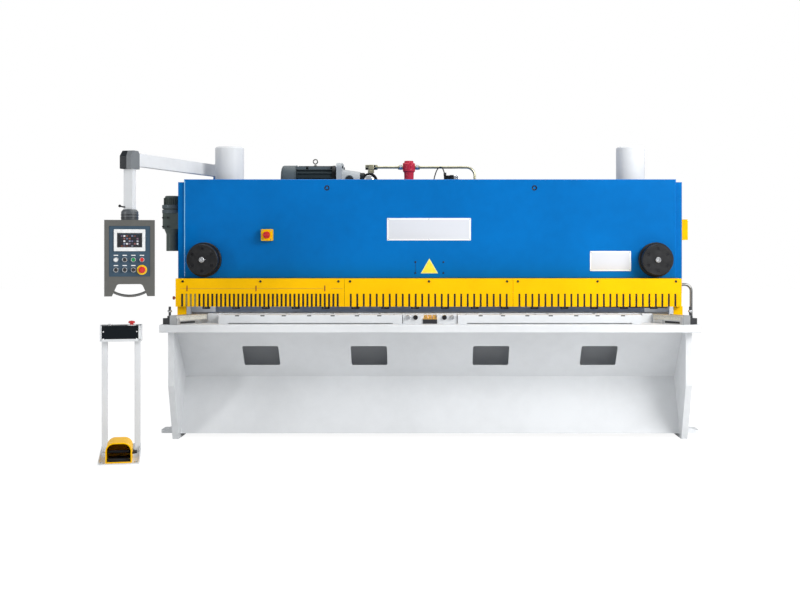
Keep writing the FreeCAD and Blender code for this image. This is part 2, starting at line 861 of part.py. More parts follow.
def pump():
    """The square flange plate, the cone-shaped coupling housing, the pump and its fitting."""
    flange = block(motor_right_x, bell_left_x, motor_y - flange_half, motor_y + flange_half,
                   motor_z - flange_half, motor_z + flange_half)
    flange = rounded(flange, flange_round, lambda e: runs_along(e, "x"))
    profile = [(0, bell_left_x), (bell_left_r, bell_left_x), (bell_right_r, bell_right_x), (pump_r, bell_right_x),
               (pump_r, pump_right_x - 12.0), (pump_r - 12.0, pump_right_x), (0, pump_right_x)]
    body = turned(profile, 0, 0, "x")
    body.translate(Vector(0, motor_y, motor_z))
    riser = rod(pipe_r + 7.0, (fitting_x, pipe_y, motor_z - pipe_r), (fitting_x, pipe_y, pipe_z))
    tee = rod(fitting_r, (fitting_x - fitting_half, pipe_y, pipe_z), (fitting_x + fitting_half, pipe_y, pipe_z))
    neck = rod(pipe_r + 5.0, (pump_right_x - 10.0, motor_y, motor_z), (fitting_x, motor_y, motor_z))
    return fused([flange, body, riser, tee, neck])


def oil_filter():
    """The filter: a bowl under a wider head with a ribbed top, standing on the lid."""
    head = filter_top_z - filter_head_height
    return turned([(0, lid_top), (filter_r - 8.0, lid_top), (filter_r, lid_top + 20.0), (filter_r + 5.0, head),
                   (filter_head_r, head + 10.0), (filter_head_r, filter_top_z - 22.0),
                   (filter_head_r - 14.0, filter_top_z - 8.0), (filter_head_r - 14.0, filter_top_z),
                   (0, filter_top_z)], filter_x, pipe_y)


def pressure_pipes():
    """The straight pipe into the filter, and the one that leaves it and bends down to the lid."""
    union_r = pipe_r + 7.0
    inlet = rod(pipe_r, (fitting_x + fitting_half, pipe_y, pipe_z), (filter_x - filter_head_r, pipe_y, pipe_z))
    nut_in = rod(union_r, (filter_x - filter_head_r - 34.0, pipe_y, pipe_z), (filter_x - filter_head_r, pipe_y, pipe_z))
    start = Vector(filter_x + filter_head_r, pipe_y, pipe_z)
    bend_start = Vector(pipe_drop_x - pipe_bend_r, pipe_y, pipe_z)
    bend_end = Vector(pipe_drop_x, pipe_y, pipe_z - pipe_bend_r)
    half_turn = pipe_bend_r * math.sqrt(0.5)
    middle = Vector(pipe_drop_x - pipe_bend_r + half_turn, pipe_y, pipe_z - pipe_bend_r + half_turn)
    path = Part.Wire([Part.makeLine(start, bend_start), Part.Arc(bend_start, middle, bend_end).toShape(),
                      Part.makeLine(bend_end, Vector(pipe_drop_x, pipe_y, lid_top))])
    ring = Part.Wire(Part.makeCircle(pipe_r, start, Vector(1, 0, 0)))
    outlet = path.makePipeShell([ring], True, False)
    nut_out = rod(union_r, (start.x, pipe_y, pipe_z), (start.x + 34.0, pipe_y, pipe_z))
    nut_foot = rod(union_r, (pipe_drop_x, pipe_y, lid_top), (pipe_drop_x, pipe_y, lid_top + 30.0))
    return Part.makeCompound([fused([inlet, nut_in]), fused([outlet, nut_out, nut_foot])])


def valve_block():
    """The narrow valve block on the lid, with a round cartridge nut and a solenoid on its rear."""
    x, y = valve_x, pipe_y
    body = block(x - valve_width / 2, x + valve_width / 2, y - valve_depth / 2, y + valve_depth / 2,
                 lid_top, valve_top_z)
    body = rounded(body, 5.0, lambda e: runs_along(e, "z"))
    nut = rod(valve_nut_r, (x, y, valve_nut_z), (x + valve_width / 2 + valve_nut_length, y, valve_nut_z))
    coil_z = lid_top + 2 * solenoid_r
    coil = rod(solenoid_r, (x, y, coil_z), (x, y + valve_depth / 2 + solenoid_length, coil_z))
    return fused([body, nut.cut(block(x - 1, x + 10, y - 30, y + 30, valve_top_z, valve_top_z + 50)), coil])


def gap_drive():
    """The upright gear motor on the left frame that sets the blade gap."""
    x = -outer_x - drive_x_offset
    top = frame_height - drive_drop
    cap_foot = top - drive_cap_height
    ring_foot = cap_foot - drive_ring_height
    box_foot = ring_foot - drive_box_height
    tail_top = box_foot - drive_neck
    cap = turned([(0, cap_foot), (drive_cap_r, cap_foot), (drive_cap_r - 3.0, top - 6.0),
                  (drive_cap_r - 9.0, top), (0, top)], x, drive_y)
    middle = (cap_foot + ring_foot) / 2
    ring = turned([(0, ring_foot), (drive_flange_r, ring_foot), (drive_flange_r, middle - drive_groove),
                   (drive_flange_r - 6.0, middle), (drive_flange_r, middle + drive_groove),
                   (drive_flange_r, cap_foot), (0, cap_foot)], x, drive_y)
    half = drive_body / 2
    gearbox = block(x - half, -outer_x, drive_y - half, drive_y + half, box_foot, ring_foot)
    gearbox = rounded(gearbox, 8.0, lambda e: runs_along(e, "z") and e.CenterOfMass.x < x)
    tail_foot = tail_top - drive_tail_length
    tail = turned([(0, tail_foot), (drive_tail_r, tail_foot), (drive_tail_r, tail_top),
                   (drive_tail_r + 14.0, box_foot), (0, box_foot)], x, drive_y)
    return fused([cap, ring, gearbox, tail])


def terminal_box():
    """The small box on the outside of the right frame."""
    box = block(outer_x, outer_x + terminal_depth, terminal_y, terminal_y + terminal_length,
                terminal_foot_z, terminal_foot_z + terminal_height)
    return rounded(box, 3.0, lambda e: e.CenterOfMass.x > outer_x + terminal_depth - 1)


def rear_cross_tube():
    """The square tube that ties the frames at the rear."""
    y0 = frame_rear_y - rear_tube_inset - rear_tube
    tube = block(-half_bed, half_bed, y0, y0 + rear_tube, rear_tube_z, rear_tube_z + rear_tube)
    wall = rear_tube_wall
    hollow = block(-half_bed - 1, half_bed + 1, y0 + wall, y0 + rear_tube - wall,
                   rear_tube_z + wall, rear_tube_z + rear_tube - wall)
    return tube.cut(hollow)


def gauge_rails():
    """The two back gauge rails, from the table beam to the rear cross tube."""
    y0 = web_y + web_thick
    y1 = frame_rear_y - rear_tube_inset - rear_tube
    rails = []
    for x in (-gauge_rail_x, gauge_rail_x):
        half = gauge_rail_width / 2
        rails.append(block(x - half, x + half, y0, y1, gauge_rail_top_z - gauge_rail_height, gauge_rail_top_z))
    return rails


def gauge_bar():
    """The back gauge bar with a carriage on each rail."""
    solids = []
    for x in (-gauge_rail_x, gauge_rail_x):
        half = gauge_carriage / 2
        solids.append(block(x - half, x + half, gauge_bar_y, gauge_bar_y + gauge_carriage, gauge_rail_top_z,
                            gauge_bar_foot_z + gauge_bar_height))
    solids.append(block(-gauge_bar_half, gauge_bar_half, gauge_bar_y - gauge_bar_thick, gauge_bar_y,
                        gauge_bar_foot_z, gauge_bar_foot_z + gauge_bar_height))
    return fused(solids)


def squaring_arm():
    """The left squaring arm: a slotted bar that lies aslant on the end of the table."""
    half = arm_bar_width / 2
    bar = block(-half, half, 0, arm_bar_length, 0, arm_bar_height)
    groove = block(-arm_groove / 2, arm_groove / 2, arm_block, arm_bar_length + 1,
                   arm_bar_height - arm_groove, arm_bar_height + 1)
    bar = rounded(bar, 4.0, lambda e: runs_along(e, "y") and e.CenterOfMass.z > arm_bar_height - 1).cut(groove)
    return placed_arm(bar)


def arm_clamp():
    """The left arm's dark clamp block with its upright screw and small lever."""
    half = arm_bar_width / 2
    jaw = block(-half - arm_block, -half, 0, arm_block, 0, arm_clamp_height)
    screw = rod(arm_screw_r, (-half - arm_block / 2, arm_block / 2, arm_clamp_height),
                (-half - arm_block / 2, arm_block / 2, arm_clamp_height + arm_screw_height))
    collar = rod(arm_screw_r + 8.0, (-half - arm_block / 2, arm_block / 2, arm_clamp_height),
                 (-half - arm_block / 2, arm_block / 2, arm_clamp_height + 14.0))
    return placed_arm(fused([jaw, screw, collar]))


def placed_arm(solid):
    """Turns a piece of the squaring arm into line and sets it on the left end of the table."""
    solid.rotate(Vector(0, 0, 0), Vector(0, 0, 1), -arm_bar_turn)
    solid.translate(Vector(-arm_bar_x, arm_bar_y, table_z))
    return solid


def bench_joint():
    """The two blocks that close the bench beside the middle junction."""
    y0 = bench_front_y + joint_setback
    left = block(-bench_inner_x + joint_gap, -middle_block_half, y0, seat_front_y, table_z, bench_top - 2.0)
    right = block(middle_block_half, bench_inner_x - joint_gap, y0, seat_front_y, table_z, bench_top - 2.0)
    return [left, right]


def junction():
    """The dark junction block between the bench halves."""
    y0 = bench_front_y + joint_setback - 6.0
    base = block(-middle_block_half, middle_block_half, y0, seat_front_y, table_z, table_z + middle_block_height)
    return fused([base] + brass_nuts())


def brass_nuts():
    """The row of three six-sided nuts on the junction block."""
    y = bench_front_y + joint_setback + 24.0
    z0 = table_z + middle_block_height
    nuts = []
    for x in (-28.0, 0.0, 28.0):
        corners = [(x + brass_r * math.cos(math.radians(60 * k)), y + brass_r * math.sin(math.radians(60 * k)))
                   for k in range(6)]
        nuts.append(plate_z(corners, z0, z0 + nut_height))
    return nuts


def air_pipe():
    """The bent tube at the right end, from the guard's edge down to the clamp on the table."""
    start = Vector(guard_right_x, guard_y + guard_return / 2, air_top_z)
    corner_x = guard_right_x + air_reach
    bend_start = Vector(corner_x - air_bend_r, start.y, air_top_z)
    bend_end = Vector(corner_x, start.y, air_top_z - air_bend_r)
    turn = air_bend_r * math.sqrt(0.5)
    middle = Vector(corner_x - air_bend_r + turn, start.y, air_top_z - air_bend_r + turn)
    path = Part.Wire([Part.makeLine(start, bend_start), Part.Arc(bend_start, middle, bend_end).toShape(),
                      Part.makeLine(bend_end, Vector(corner_x, start.y, table_z))])
    ring = Part.Wire(Part.makeCircle(air_r, start, Vector(1, 0, 0)))
    return path.makePipeShell([ring], True, False)


def swing_bracket():
    """The bracket on top of the left frame, with the post and pin that the arm turns on."""
    half = swing_post_r + 15.0
    plate = block(-outer_x, swing_x + half, swing_y - half, swing_y + half, frame_height, frame_height + 20.0)
    post = rod(swing_post_r, (swing_x, swing_y, frame_height + 20.0), (swing_x, swing_y, arm_foot_z - swing_gap))
    pin = rod(swing_pin_r, (swing_x, swing_y, frame_height + 20.0), (swing_x, swing_y, arm_z + arm_height / 2))
    return fused([plate, post, pin])


def arm_tube():
    """The swinging arm: a hub, a long rectangular tube, a bevelled elbow and the drop tube."""
    hub = rod(swing_post_r, (0, 0, arm_foot_z), (0, 0, arm_z + arm_height / 2))
    tube = block(0, arm_reach, -arm_width / 2, arm_width / 2, arm_z - arm_height / 2, arm_z + arm_height / 2)
    bore = rod(swing_pin_r + swing_fit, (0, 0, arm_foot_z - 1), (0, 0, arm_z + arm_height))
    drop = block(arm_reach - drop_depth / 2, arm_reach + drop_depth / 2, -drop_width / 2, drop_width / 2,
                 drop_foot_z, elbow_foot_z)
    return placed_on_arm(fused([hub, tube, drop]).cut(bore))


def elbow():
    """The cast elbow over the joint of the arm and the drop tube, hollow to take both."""
    half = elbow_size / 2
    x0, x1 = arm_reach - half, arm_reach + half
    top = arm_z + elbow_rise
    outline = [(x0, elbow_foot_z), (x1, elbow_foot_z), (x1, top - elbow_bevel), (x1 - elbow_bevel, top),
               (x0 + elbow_bevel / 2, top), (x0, top - elbow_bevel / 2)]
    casting = plate_y(outline, -elbow_width / 2, elbow_width / 2)
    casting = casting.makeFillet(5.0, [e for e in casting.Edges if runs_along(e, "y")])
    socket = block(x0 - 1, arm_reach, -arm_width / 2, arm_width / 2, arm_z - arm_height / 2, arm_z + arm_height / 2)
    return placed_on_arm(casting.cut(socket))


def swivel_hub():
    """The round swivel hub at the foot of the drop tube, bored for the box's stub."""
    hub = turned([(stub_r + swing_fit, hub_foot_z), (hub_r, hub_foot_z), (hub_r, drop_foot_z - 14.0),
                  (hub_r - 12.0, drop_foot_z), (0, drop_foot_z), (0, drop_foot_z - 10.0),
                  (stub_r + swing_fit, drop_foot_z - 10.0)], arm_reach, 0)
    return placed_on_arm(hub)


def placed_on_arm(solid):
    """Turns a piece drawn along +X so that it lies on the arm between its two pivots."""
    solid.rotate(Vector(0, 0, 0), Vector(0, 0, 1), arm_heading)
    solid.translate(Vector(swing_x, swing_y, 0))
    return solid


def control_box():
    """The hanging box with its inset front, its mouth for the handle and the swivel stub."""
    x0, x1 = hang_x - box_width / 2, hang_x + box_width / 2
    y0, y1 = hang_y - box_depth / 2, hang_y + box_depth / 2
    foot_z = box_top_z - box_height
    body = block(x0, x1, y0, y1, foot_z, box_top_z)
    body = rounded(body, 5.0, lambda e: runs_along(e, "z"))
    inset = block(x0 + inset_side, x1 - inset_side, y0 - 1, y0 + inset_deep,
                  box_top_z - inset_foot, box_top_z - inset_top)
    mouth_top = foot_z + mouth_height
    mouth = plate_y([(hang_x - mouth_foot_half, foot_z - 1), (hang_x + mouth_foot_half, foot_z - 1),
                     (hang_x + mouth_top_half, mouth_top), (hang_x - mouth_top_half, mouth_top)], y0 - 1, y1 + 1)
    mouth = rounded(mouth, mouth_round, lambda e: runs_along(e, "y") and e.CenterOfMass.z > mouth_top - 1)
    stub = rod(stub_r, (hang_x, hang_y, box_top_z), (hang_x, hang_y, drop_foot_z - stub_recess - swing_gap))
    return faced(fused([body, stub]).cut(inset).cut(mouth).cut(box_room(y0 + inset_deep + box_wall, y1 + 1)))


def faced(shape):
    """Turns a piece of the control box about its swivel, so that it faces the operator."""
    turned_shape = shape.copy()
    turned_shape.rotate(Vector(hang_x, hang_y, 0), Vector(0, 0, 1), box_turn)
    return turned_shape


def box_room(y0, y1):
    """The space for the electrics inside the control box, between two depths."""
    side = box_width / 2 - box_wall
    return block(hang_x - side, hang_x + side, y0, y1,
                 box_top_z - box_height + mouth_height + box_wall, box_top_z - box_wall)


def box_back():
    """The flat cover that closes the control box from behind."""
    y1 = hang_y + box_depth / 2
    return faced(box_room(y1 - box_cover_thick, y1))


def box_handle():
    """The bent grip across the mouth of the box."""
    z = box_top_z - box_height + handle_rise
    y = hang_y - box_depth / 2 + 24.0
    ends = [Vector(hang_x - mouth_grip_half, y, z), Vector(hang_x + mouth_grip_half, y, z)]
    arc = Part.Arc(ends[0], Vector(hang_x, y, z - handle_sag), ends[1])
    path = Part.Wire([arc.toShape()])
    ring = Part.Wire(Part.makeCircle(handle_r, ends[0], arc.tangent(arc.FirstParameter)[0]))
    return faced(path.makePipeShell([ring], True, False)).cut(control_box())


def screen_bezel():
    """The raised frame of the touch screen, with the screen's glass sunk in it."""
    y0 = hang_y - box_depth / 2 + inset_deep
    x0 = hang_x - bezel_width / 2
    top = box_top_z - bezel_top
    frame = block(x0, x0 + bezel_width, y0 - bezel_proud, y0, top - bezel_height, top)
    frame = rounded(frame, 4.0, lambda e: runs_along(e, "y"))
    glass = block(x0 + bezel_side, x0 + bezel_width - bezel_side, y0 - bezel_proud - 1, y0 - bezel_proud + 2.0,
                  top - bezel_height + bezel_edge, top - bezel_edge)
    return faced(frame.cut(glass))


def box_buttons():
    """The seven small buttons and switches in two rows, each on its collar."""
    y0 = hang_y - box_depth / 2 + inset_deep
    made = []
    for drop, places in ((button_row_1, button_x), (button_row_2, button_x[:3])):
        for dx in places:
            x, z = hang_x + dx, box_top_z - drop
            collar = rod(button_r, (x, y0, z), (x, y0 - 4.0, z))
            knob = rod(button_r - 3.5, (x, y0 - 4.0, z), (x, y0 - 13.0, z))
            made.append(fused([collar, knob]))
    return faced(Part.makeCompound(made))


def mushroom(x, y, z, axis):
    """A mushroom stop button: a stem and a wide rounded cap that faces along the axis given."""
    cap = turned([(0, 0), (mushroom_r * 0.55, 0), (mushroom_r * 0.55, 12.0), (mushroom_r, 14.0),
                  (mushroom_r, 22.0), (mushroom_r * 0.8, 27.0), (0, 30.0)], 0, 0, axis)
    cap.translate(Vector(x, y, z))
    return cap


def box_stop():
    """The stop button of the hanging box, at the end of its lower row."""
    return faced(mushroom(hang_x + button_x[3], hang_y - box_depth / 2 + inset_deep, box_top_z - button_row_2, "-y"))


def stand_base():
    """The stand's floor tray: a plate with a low rim on three sides."""
    x0, x1 = stand_x - stand_width / 2, stand_x + stand_width / 2
    y0, y1 = stand_front_y, stand_front_y + stand_depth
    tray = plate_x([(y0, 0), (y1, 0), (y1, stand_rim), (y0, stand_rim_front)], x0, x1)
    well = block(x0 + stand_base_thick, x1 - stand_base_thick, y0 - 1, y1 - stand_base_thick,
                 stand_base_thick, stand_rim + 1)
    return tray.cut(well)


def stand_posts():
    """The two square posts at the rear of the tray."""
    y1 = stand_front_y + stand_depth - post_back
    posts = []
    for dx in (-post_spread / 2, post_spread / 2):
        x0 = stand_x + dx - post_size / 2
        post = block(x0, x0 + post_size, y1 - post_size, y1, stand_base_thick, desk_z)
        posts.append(rounded(post, 4.0, lambda e: runs_along(e, "z")))
    return posts


def stand_desk():
    """The stand's small control housing: a folded white shell, open at the front and top."""
    x0, x1 = stand_x - desk_width / 2, stand_x + desk_width / 2
    y0, y1 = desk_front_y, desk_front_y + desk_depth
    outline = [(y0, desk_z), (y1, desk_z), (y1, desk_z + desk_height),
               (y0 + desk_slope, desk_z + desk_height), (y0, desk_z + desk_height - desk_slope)]
    shell = plate_x(outline, x0, x1)
    core = plate_x([(y0 - 1, desk_z + desk_wall), (y1 - desk_wall, desk_z + desk_wall),
                    (y1 - desk_wall, desk_z + desk_height + 1), (y0 - 1, desk_z + desk_height + 1)],
                   x0 + desk_wall, x1 - desk_wall)
    return shell.cut(core)


def pedal_stand():
    """The stand's welded frame: tray, posts and control housing."""
    return on_stand(fused([stand_base()] + stand_posts() + [stand_desk()]))


def on_stand(shape):
    """Turns a piece of the pedal stand about the middle of the stand's front edge."""
    turned_shape = shape.copy()
    turned_shape.rotate(Vector(stand_x, stand_front_y, 0), Vector(0, 0, 1), stand_turn)
    return turned_shape


def desk_panel():
    """The dark insert of the housing, with its front face and sloping top."""
    x0, x1 = stand_x - desk_width / 2 + desk_wall, stand_x + desk_width / 2 - desk_wall
    y0, y1 = desk_front_y + 3.0, desk_front_y + desk_depth - desk_wall
    top = desk_z + desk_height - 4.0
    outline = [(y0, desk_z + desk_wall), (y1, desk_z + desk_wall), (y1, top),
               (y0 + desk_slope, top), (y0, top - desk_slope)]
    fold = desk_sheet * (math.sqrt(2) - 1)  # keeps the sloping face as thick as the flat ones
    room = [(y0 + desk_sheet, desk_z), (y1 + 1, desk_z), (y1 + 1, top - desk_sheet),
            (y0 + desk_slope + fold, top - desk_sheet), (y0 + desk_sheet, top - desk_slope - fold)]
    return on_stand(plate_x(outline, x0, x1).cut(plate_x(room, x0 - 1, x1 + 1)))


def desk_stop():
    """The stand's stop button."""
    return on_stand(mushroom(stand_x + desk_stop_dx, desk_front_y + desk_depth * 0.55,
                             desk_z + desk_height - 4.0, "z"))


def arch_points(half, height, foot):
    """Points of an arched cross-section: straight sides and a round top corner at each side."""
    return [(-half, foot), (half, foot), (half, foot + height), (-half, foot + height)]


def pedal_shroud():
    """The pedal's arched cover, open at the front for the foot."""
    half = shroud_width / 2
    z0 = stand_base_thick
    y1 = shroud_y + shroud_length
    outer = plate_y([(stand_x + x, z) for x, z in arch_points(half, shroud_height, z0)], shroud_y, y1)
    outer = rounded(outer, shroud_round, lambda e: runs_along(e, "y") and e.CenterOfMass.z > z0 + shroud_height - 1)
    wall = shroud_wall
    inner_half, inner_height = half - wall, shroud_height - 2 * wall
    inner = plate_y([(stand_x + x, z) for x, z in arch_points(inner_half, inner_height, z0 + wall)],
                    shroud_y - 1, y1 - wall)
    inner = rounded(inner, shroud_round - wall,
                    lambda e: runs_along(e, "y") and e.CenterOfMass.z > z0 + wall + inner_height - 1)
    return on_stand(outer.cut(inner))


def treadle():
    """The foot treadle inside the shroud, on a round pivot bar at its rear."""
    half = treadle_width / 2
    plate = block(-half, half, -treadle_length, 0, -treadle_thick / 2, treadle_thick / 2)
    ribs = [block(-half + 8.0, half - 8.0, -treadle_length + 14.0 + 22.0 * i, -treadle_length + 22.0 + 22.0 * i,
                  treadle_thick / 2, treadle_thick / 2 + 3.0) for i in range(5)]
    reach = shroud_width / 2 - shroud_wall - treadle_side_gap
    pivot = rod(treadle_pivot_r, (-reach, 0, 0), (reach, 0, 0))
    solid = fused([plate, pivot] + ribs)
    solid.rotate(Vector(0, 0, 0), Vector(1, 0, 0), -treadle_angle)
    solid.translate(Vector(stand_x, treadle_y, treadle_z))
    return on_stand(solid)


parts = {
    "side_frame_right": side_frame(),
    "side_frame_left": mirrored(side_frame()),
    "table_plate": table_plate(),
    "blade_seat": blade_seat(),
    "lower_blade": lower_blade(),
    "bench_plates": Part.makeCompound([bench(), mirrored(bench())] + bench_joint()),
    "junction_block": junction(),
    "front_apron": apron(),
    "table_beam_web": beam_web(),
    "front_panel": front_panel(),
    "hold_down_beam": hold_beam(),
    "hold_down_cylinders": hold_cylinders(),
    "hold_down_plungers": plungers(),
    "blade_beam": blade_beam(),
    "upper_blade": upper_blade(),
    "beam_guides": beam_guides(),
    "main_cylinder_right": main_cylinder(),
    "main_cylinder_left": mirrored(main_cylinder()),
    "piston_rods": piston_rods(),
    "guide_covers": pair(guide_cover()),
    "isolator_box": isolator(),
    "isolator_knob": isolator_knob(),
    "guard_left": guard_section(0, fine_slot_pitch, fine_slot_width),
    "guard_middle": guard_section(1, coarse_slot_pitch, coarse_slot_width),
    "guard_right": guard_section(2, coarse_slot_pitch, coarse_slot_width),
    "guard_shelf": guard_shelf(),
    "guard_cheeks": pair(guard_cheek()),
    "oil_tank": tank(),
    "tank_lid": tank_lid(),
    "tank_cross_tubes": Part.makeCompound(tank_rails()),
    "pump_motor": motor(),
    "pump": pump(),
    "oil_filter": oil_filter(),
    "pressure_pipes": pressure_pipes(),
    "valve_block": valve_block(),
    "gap_drive": gap_drive(),
    "terminal_box": terminal_box(),
    "back_gauge_frame": fused([rear_cross_tube()] + gauge_rails()),
    "back_gauge_bar": gauge_bar(),
    "squaring_arms": pair(squaring_arm()),
    "arm_clamps": pair(arm_clamp()),
    "bent_tube": air_pipe(),
    "swing_bracket": swing_bracket(),
    "swing_arm": arm_tube(),
    "arm_elbow": elbow(),
    "swivel_hub": swivel_hub(),
    "control_box": control_box(),
    "box_back": box_back(),
    "box_handle": box_handle(),
    "screen_bezel": screen_bezel(),
    "box_buttons": box_buttons(),
    "box_stop": box_stop(),
    "pedal_stand": pedal_stand(),
    "desk_panel": desk_panel(),
    "desk_stop": desk_stop(),
    "pedal_shroud": pedal_shroud(),
    "treadle": treadle(),
}

os.makedirs("parts", exist_ok=True)
for name, shape in parts.items():
    if not shape.isValid():
        raise ValueError(name + " is not a valid solid")
    shape.exportStep(os.path.join("parts", name + ".step"))
print(len(parts), "nodes,", sum(len(s.Solids) for s in parts.values()), "solids")
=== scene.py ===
"""The looks of a hydraulic guillotine shear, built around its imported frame.

Every length is in metres, in the frame of the CAD part: X along the blades to
the operator's right, Y from the operator to the rear, Z up, and the origin on
the floor between the four anchor holes.
"""

from __future__ import annotations

import logging
import math
from dataclasses import dataclass
from enum import Enum

import bmesh
import bpy
import numpy as np
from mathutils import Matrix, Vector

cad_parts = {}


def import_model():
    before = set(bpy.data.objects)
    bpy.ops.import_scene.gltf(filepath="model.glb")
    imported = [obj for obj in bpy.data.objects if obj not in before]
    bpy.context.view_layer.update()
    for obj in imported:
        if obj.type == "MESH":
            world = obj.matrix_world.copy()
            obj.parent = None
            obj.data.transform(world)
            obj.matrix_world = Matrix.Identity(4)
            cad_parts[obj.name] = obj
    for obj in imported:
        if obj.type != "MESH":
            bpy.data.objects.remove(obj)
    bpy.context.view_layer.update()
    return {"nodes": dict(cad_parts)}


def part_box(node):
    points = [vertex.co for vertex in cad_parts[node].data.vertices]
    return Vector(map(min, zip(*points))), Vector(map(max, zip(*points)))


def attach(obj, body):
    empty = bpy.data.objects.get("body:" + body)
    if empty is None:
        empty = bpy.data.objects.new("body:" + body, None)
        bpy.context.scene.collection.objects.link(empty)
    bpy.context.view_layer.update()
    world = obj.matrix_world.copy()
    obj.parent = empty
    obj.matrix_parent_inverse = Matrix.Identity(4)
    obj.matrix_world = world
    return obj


log = logging.getLogger("shear")

Point = tuple[float, float, float]
Colour = tuple[float, float, float]
MACHINE = "machine"
HANG = (-1.845, -1.330)  # X and Y of the axis that the control box hangs on
BOX_TURN = 13.0  # degrees that the box is turned by, anticlockwise as seen from above
DISC_CENTRE = (1.510, 1.176)  # X and Z of the right guide cover; the left one mirrors it
QUARTER = math.pi / 2


def linear(code: str) -> Colour:
    """Turns a hex colour as seen on a screen into scene-linear numbers.

    Args:
        code: six hex digits, such as "0070C4".

    Returns:
        The red, green and blue, each put through the sRGB curve.
    """
    seen = np.array([int(code[i:i + 2], 16) for i in (0, 2, 4)]) / 255
    low, high = seen / 12.92, ((seen + 0.055) / 1.055) ** 2.4
    return tuple(float(v) for v in np.where(seen <= 0.04045, low, high))


class Axis(Enum):
    """The way a piece points: its out direction and the two across it."""

    FRONT = ((1, 0, 0), (0, 0, 1), (0, -1, 0))
    REAR = ((-1, 0, 0), (0, 0, 1), (0, 1, 0))
    UP = ((1, 0, 0), (0, 1, 0), (0, 0, 1))
    RIGHT = ((0, 1, 0), (0, 0, 1), (1, 0, 0))
    LEFT = ((0, -1, 0), (0, 0, 1), (-1, 0, 0))

    @property
    def frame(self) -> np.ndarray:
        """The three directions as the rows of a matrix, right-handed."""
        return np.array(self.value, float)


def spin_about_z(degrees: float) -> np.ndarray:
    """The matrix R for which p @ R is p turned anticlockwise, as seen from above."""
    a = math.radians(degrees)
    return np.array([[math.cos(a), math.sin(a), 0], [-math.sin(a), math.cos(a), 0], [0, 0, 1]])


# ---------------------------------------------------------------- surfaces


class Surface:
    """A mesh gathered from numpy grids, all of them already in place."""

    def __init__(self) -> None:
        """Starts with no points and no faces."""
        self.points: list[np.ndarray] = []
        self.faces: list[list[int]] = []
        self.count = 0

    def _take(self, points: np.ndarray) -> int:
        """Adds points and returns the index of the first."""
        first = self.count
        self.points.append(points.reshape(-1, 3))
        self.count += self.points[-1].shape[0]
        return first

    def grid(self, grid: np.ndarray, wrap: bool = True, caps: bool = True) -> Surface:
        """Adds a surface given as rows of points.

        A quad joins each point (i, j) to its neighbours (i + 1, j) and
        (i, j + 1); with wrap the last column meets the first one.

        Args:
            grid: an array of rows × columns × 3.
            wrap: whether each row is a closed ring.
            caps: whether the first and last rings are closed with a face.

        Returns:
            This surface.
        """
        rows, columns = grid.shape[:2]
        first = self._take(grid)
        across = columns if wrap else columns - 1
        i, j = np.meshgrid(np.arange(rows - 1), np.arange(across), indexing="ij")
        k = (j + 1) % columns
        quads = np.stack([i * columns + j, i * columns + k, (i + 1) * columns + k,
                          (i + 1) * columns + j], -1).reshape(-1, 4) + first
        self.faces += quads.tolist()
        if wrap and caps:
            ring = first + np.arange(columns)
            self.faces += [ring[::-1].tolist(), (ring + (rows - 1) * columns).tolist()]
        return self

    def copies(self, grid: np.ndarray, places: np.ndarray) -> Surface:
        """Adds the same closed grid at each of several places.

        Args:
            grid: an array of rows × columns × 3 around its own origin.
            places: an array of n × 3 points that the origin is moved to.

        Returns:
            This surface.
        """
        for placed in grid[None] + np.asarray(places, float)[:, None, None, :]:
            self.grid(placed)
        return self

    def swung(self, about: tuple[float, float], degrees: float) -> Surface:
        """Turns everything gathered so far about an upright axis.

        A point p becomes a + (p - a)·R, where R turns the X axis towards Y.

        Args:
            about: X and Y of the axis.
            degrees: the angle, anticlockwise as seen from above.

        Returns:
            This surface.
        """
        axis, spin = np.array([*about, 0.0]), spin_about_z(degrees)
        self.points = [(points - axis) @ spin + axis for points in self.points]
        return self

    def piece(self, name: str, material: bpy.types.Material, slot: str,
              body: str = MACHINE, smooth: float = 35.0) -> bpy.types.Object:
        """Makes the object, closes its seams and hangs it on a body.

        Args:
            name: the piece's own name.
            material: the finish that covers it.
            slot: not used; it names the record's material slot that the finish belongs to.
            body: the moving body that carries it.
            smooth: degrees between faces up to which an edge looks round.

        Returns:
            The finished object, at the origin.
        """
        mesh = bpy.data.meshes.new(name)
        mesh.from_pydata(np.concatenate(self.points).tolist(), [], self.faces)
        shell = bmesh.new()
        shell.from_mesh(mesh)
        bmesh.ops.remove_doubles(shell, verts=shell.verts, dist=1e-6)
        bmesh.ops.recalc_face_normals(shell, faces=shell.faces)
        limit = math.radians(smooth)
        for edge in shell.edges:
            edge.smooth = edge.calc_face_angle(math.pi) < limit
        for face in shell.faces:
            face.smooth = True
        shell.to_mesh(mesh)
        shell.free()
        mesh.materials.append(material)
        made = bpy.data.objects.new(name, mesh)
        bpy.context.scene.collection.objects.link(made)
        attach(made, body)
        log.info("%s: %d faces on %s", name, len(mesh.polygons), body)
        return made


def turned(profile: list[tuple[float, float]], axis: Axis = Axis.UP, steps: int = 48,
           at: Point = (0, 0, 0), turn: float = 0.0) -> np.ndarray:
    """A profile of (radius, height) turned about an axis.

    Point (i, j) lies at radius r_i and angle 2πj/steps, raised by h_i along
    the axis. With steps of 6 it is a hexagon.

    Args:
        profile: the radius and height of each ring.
        axis: the way the height points.
        steps: how many points go round.
        at: where radius 0 and height 0 lie.
        turn: degrees that the first point is turned by.

    Returns:
        An array of rings × steps × 3.
    """
    r, h = np.array(profile, float).T
    angle = np.arange(steps) * 2 * np.pi / steps + math.radians(turn)
    local = np.stack([r[:, None] * np.cos(angle), r[:, None] * np.sin(angle),
                      np.broadcast_to(h[:, None], (len(r), steps))], -1)
    return local @ axis.frame + np.array(at)


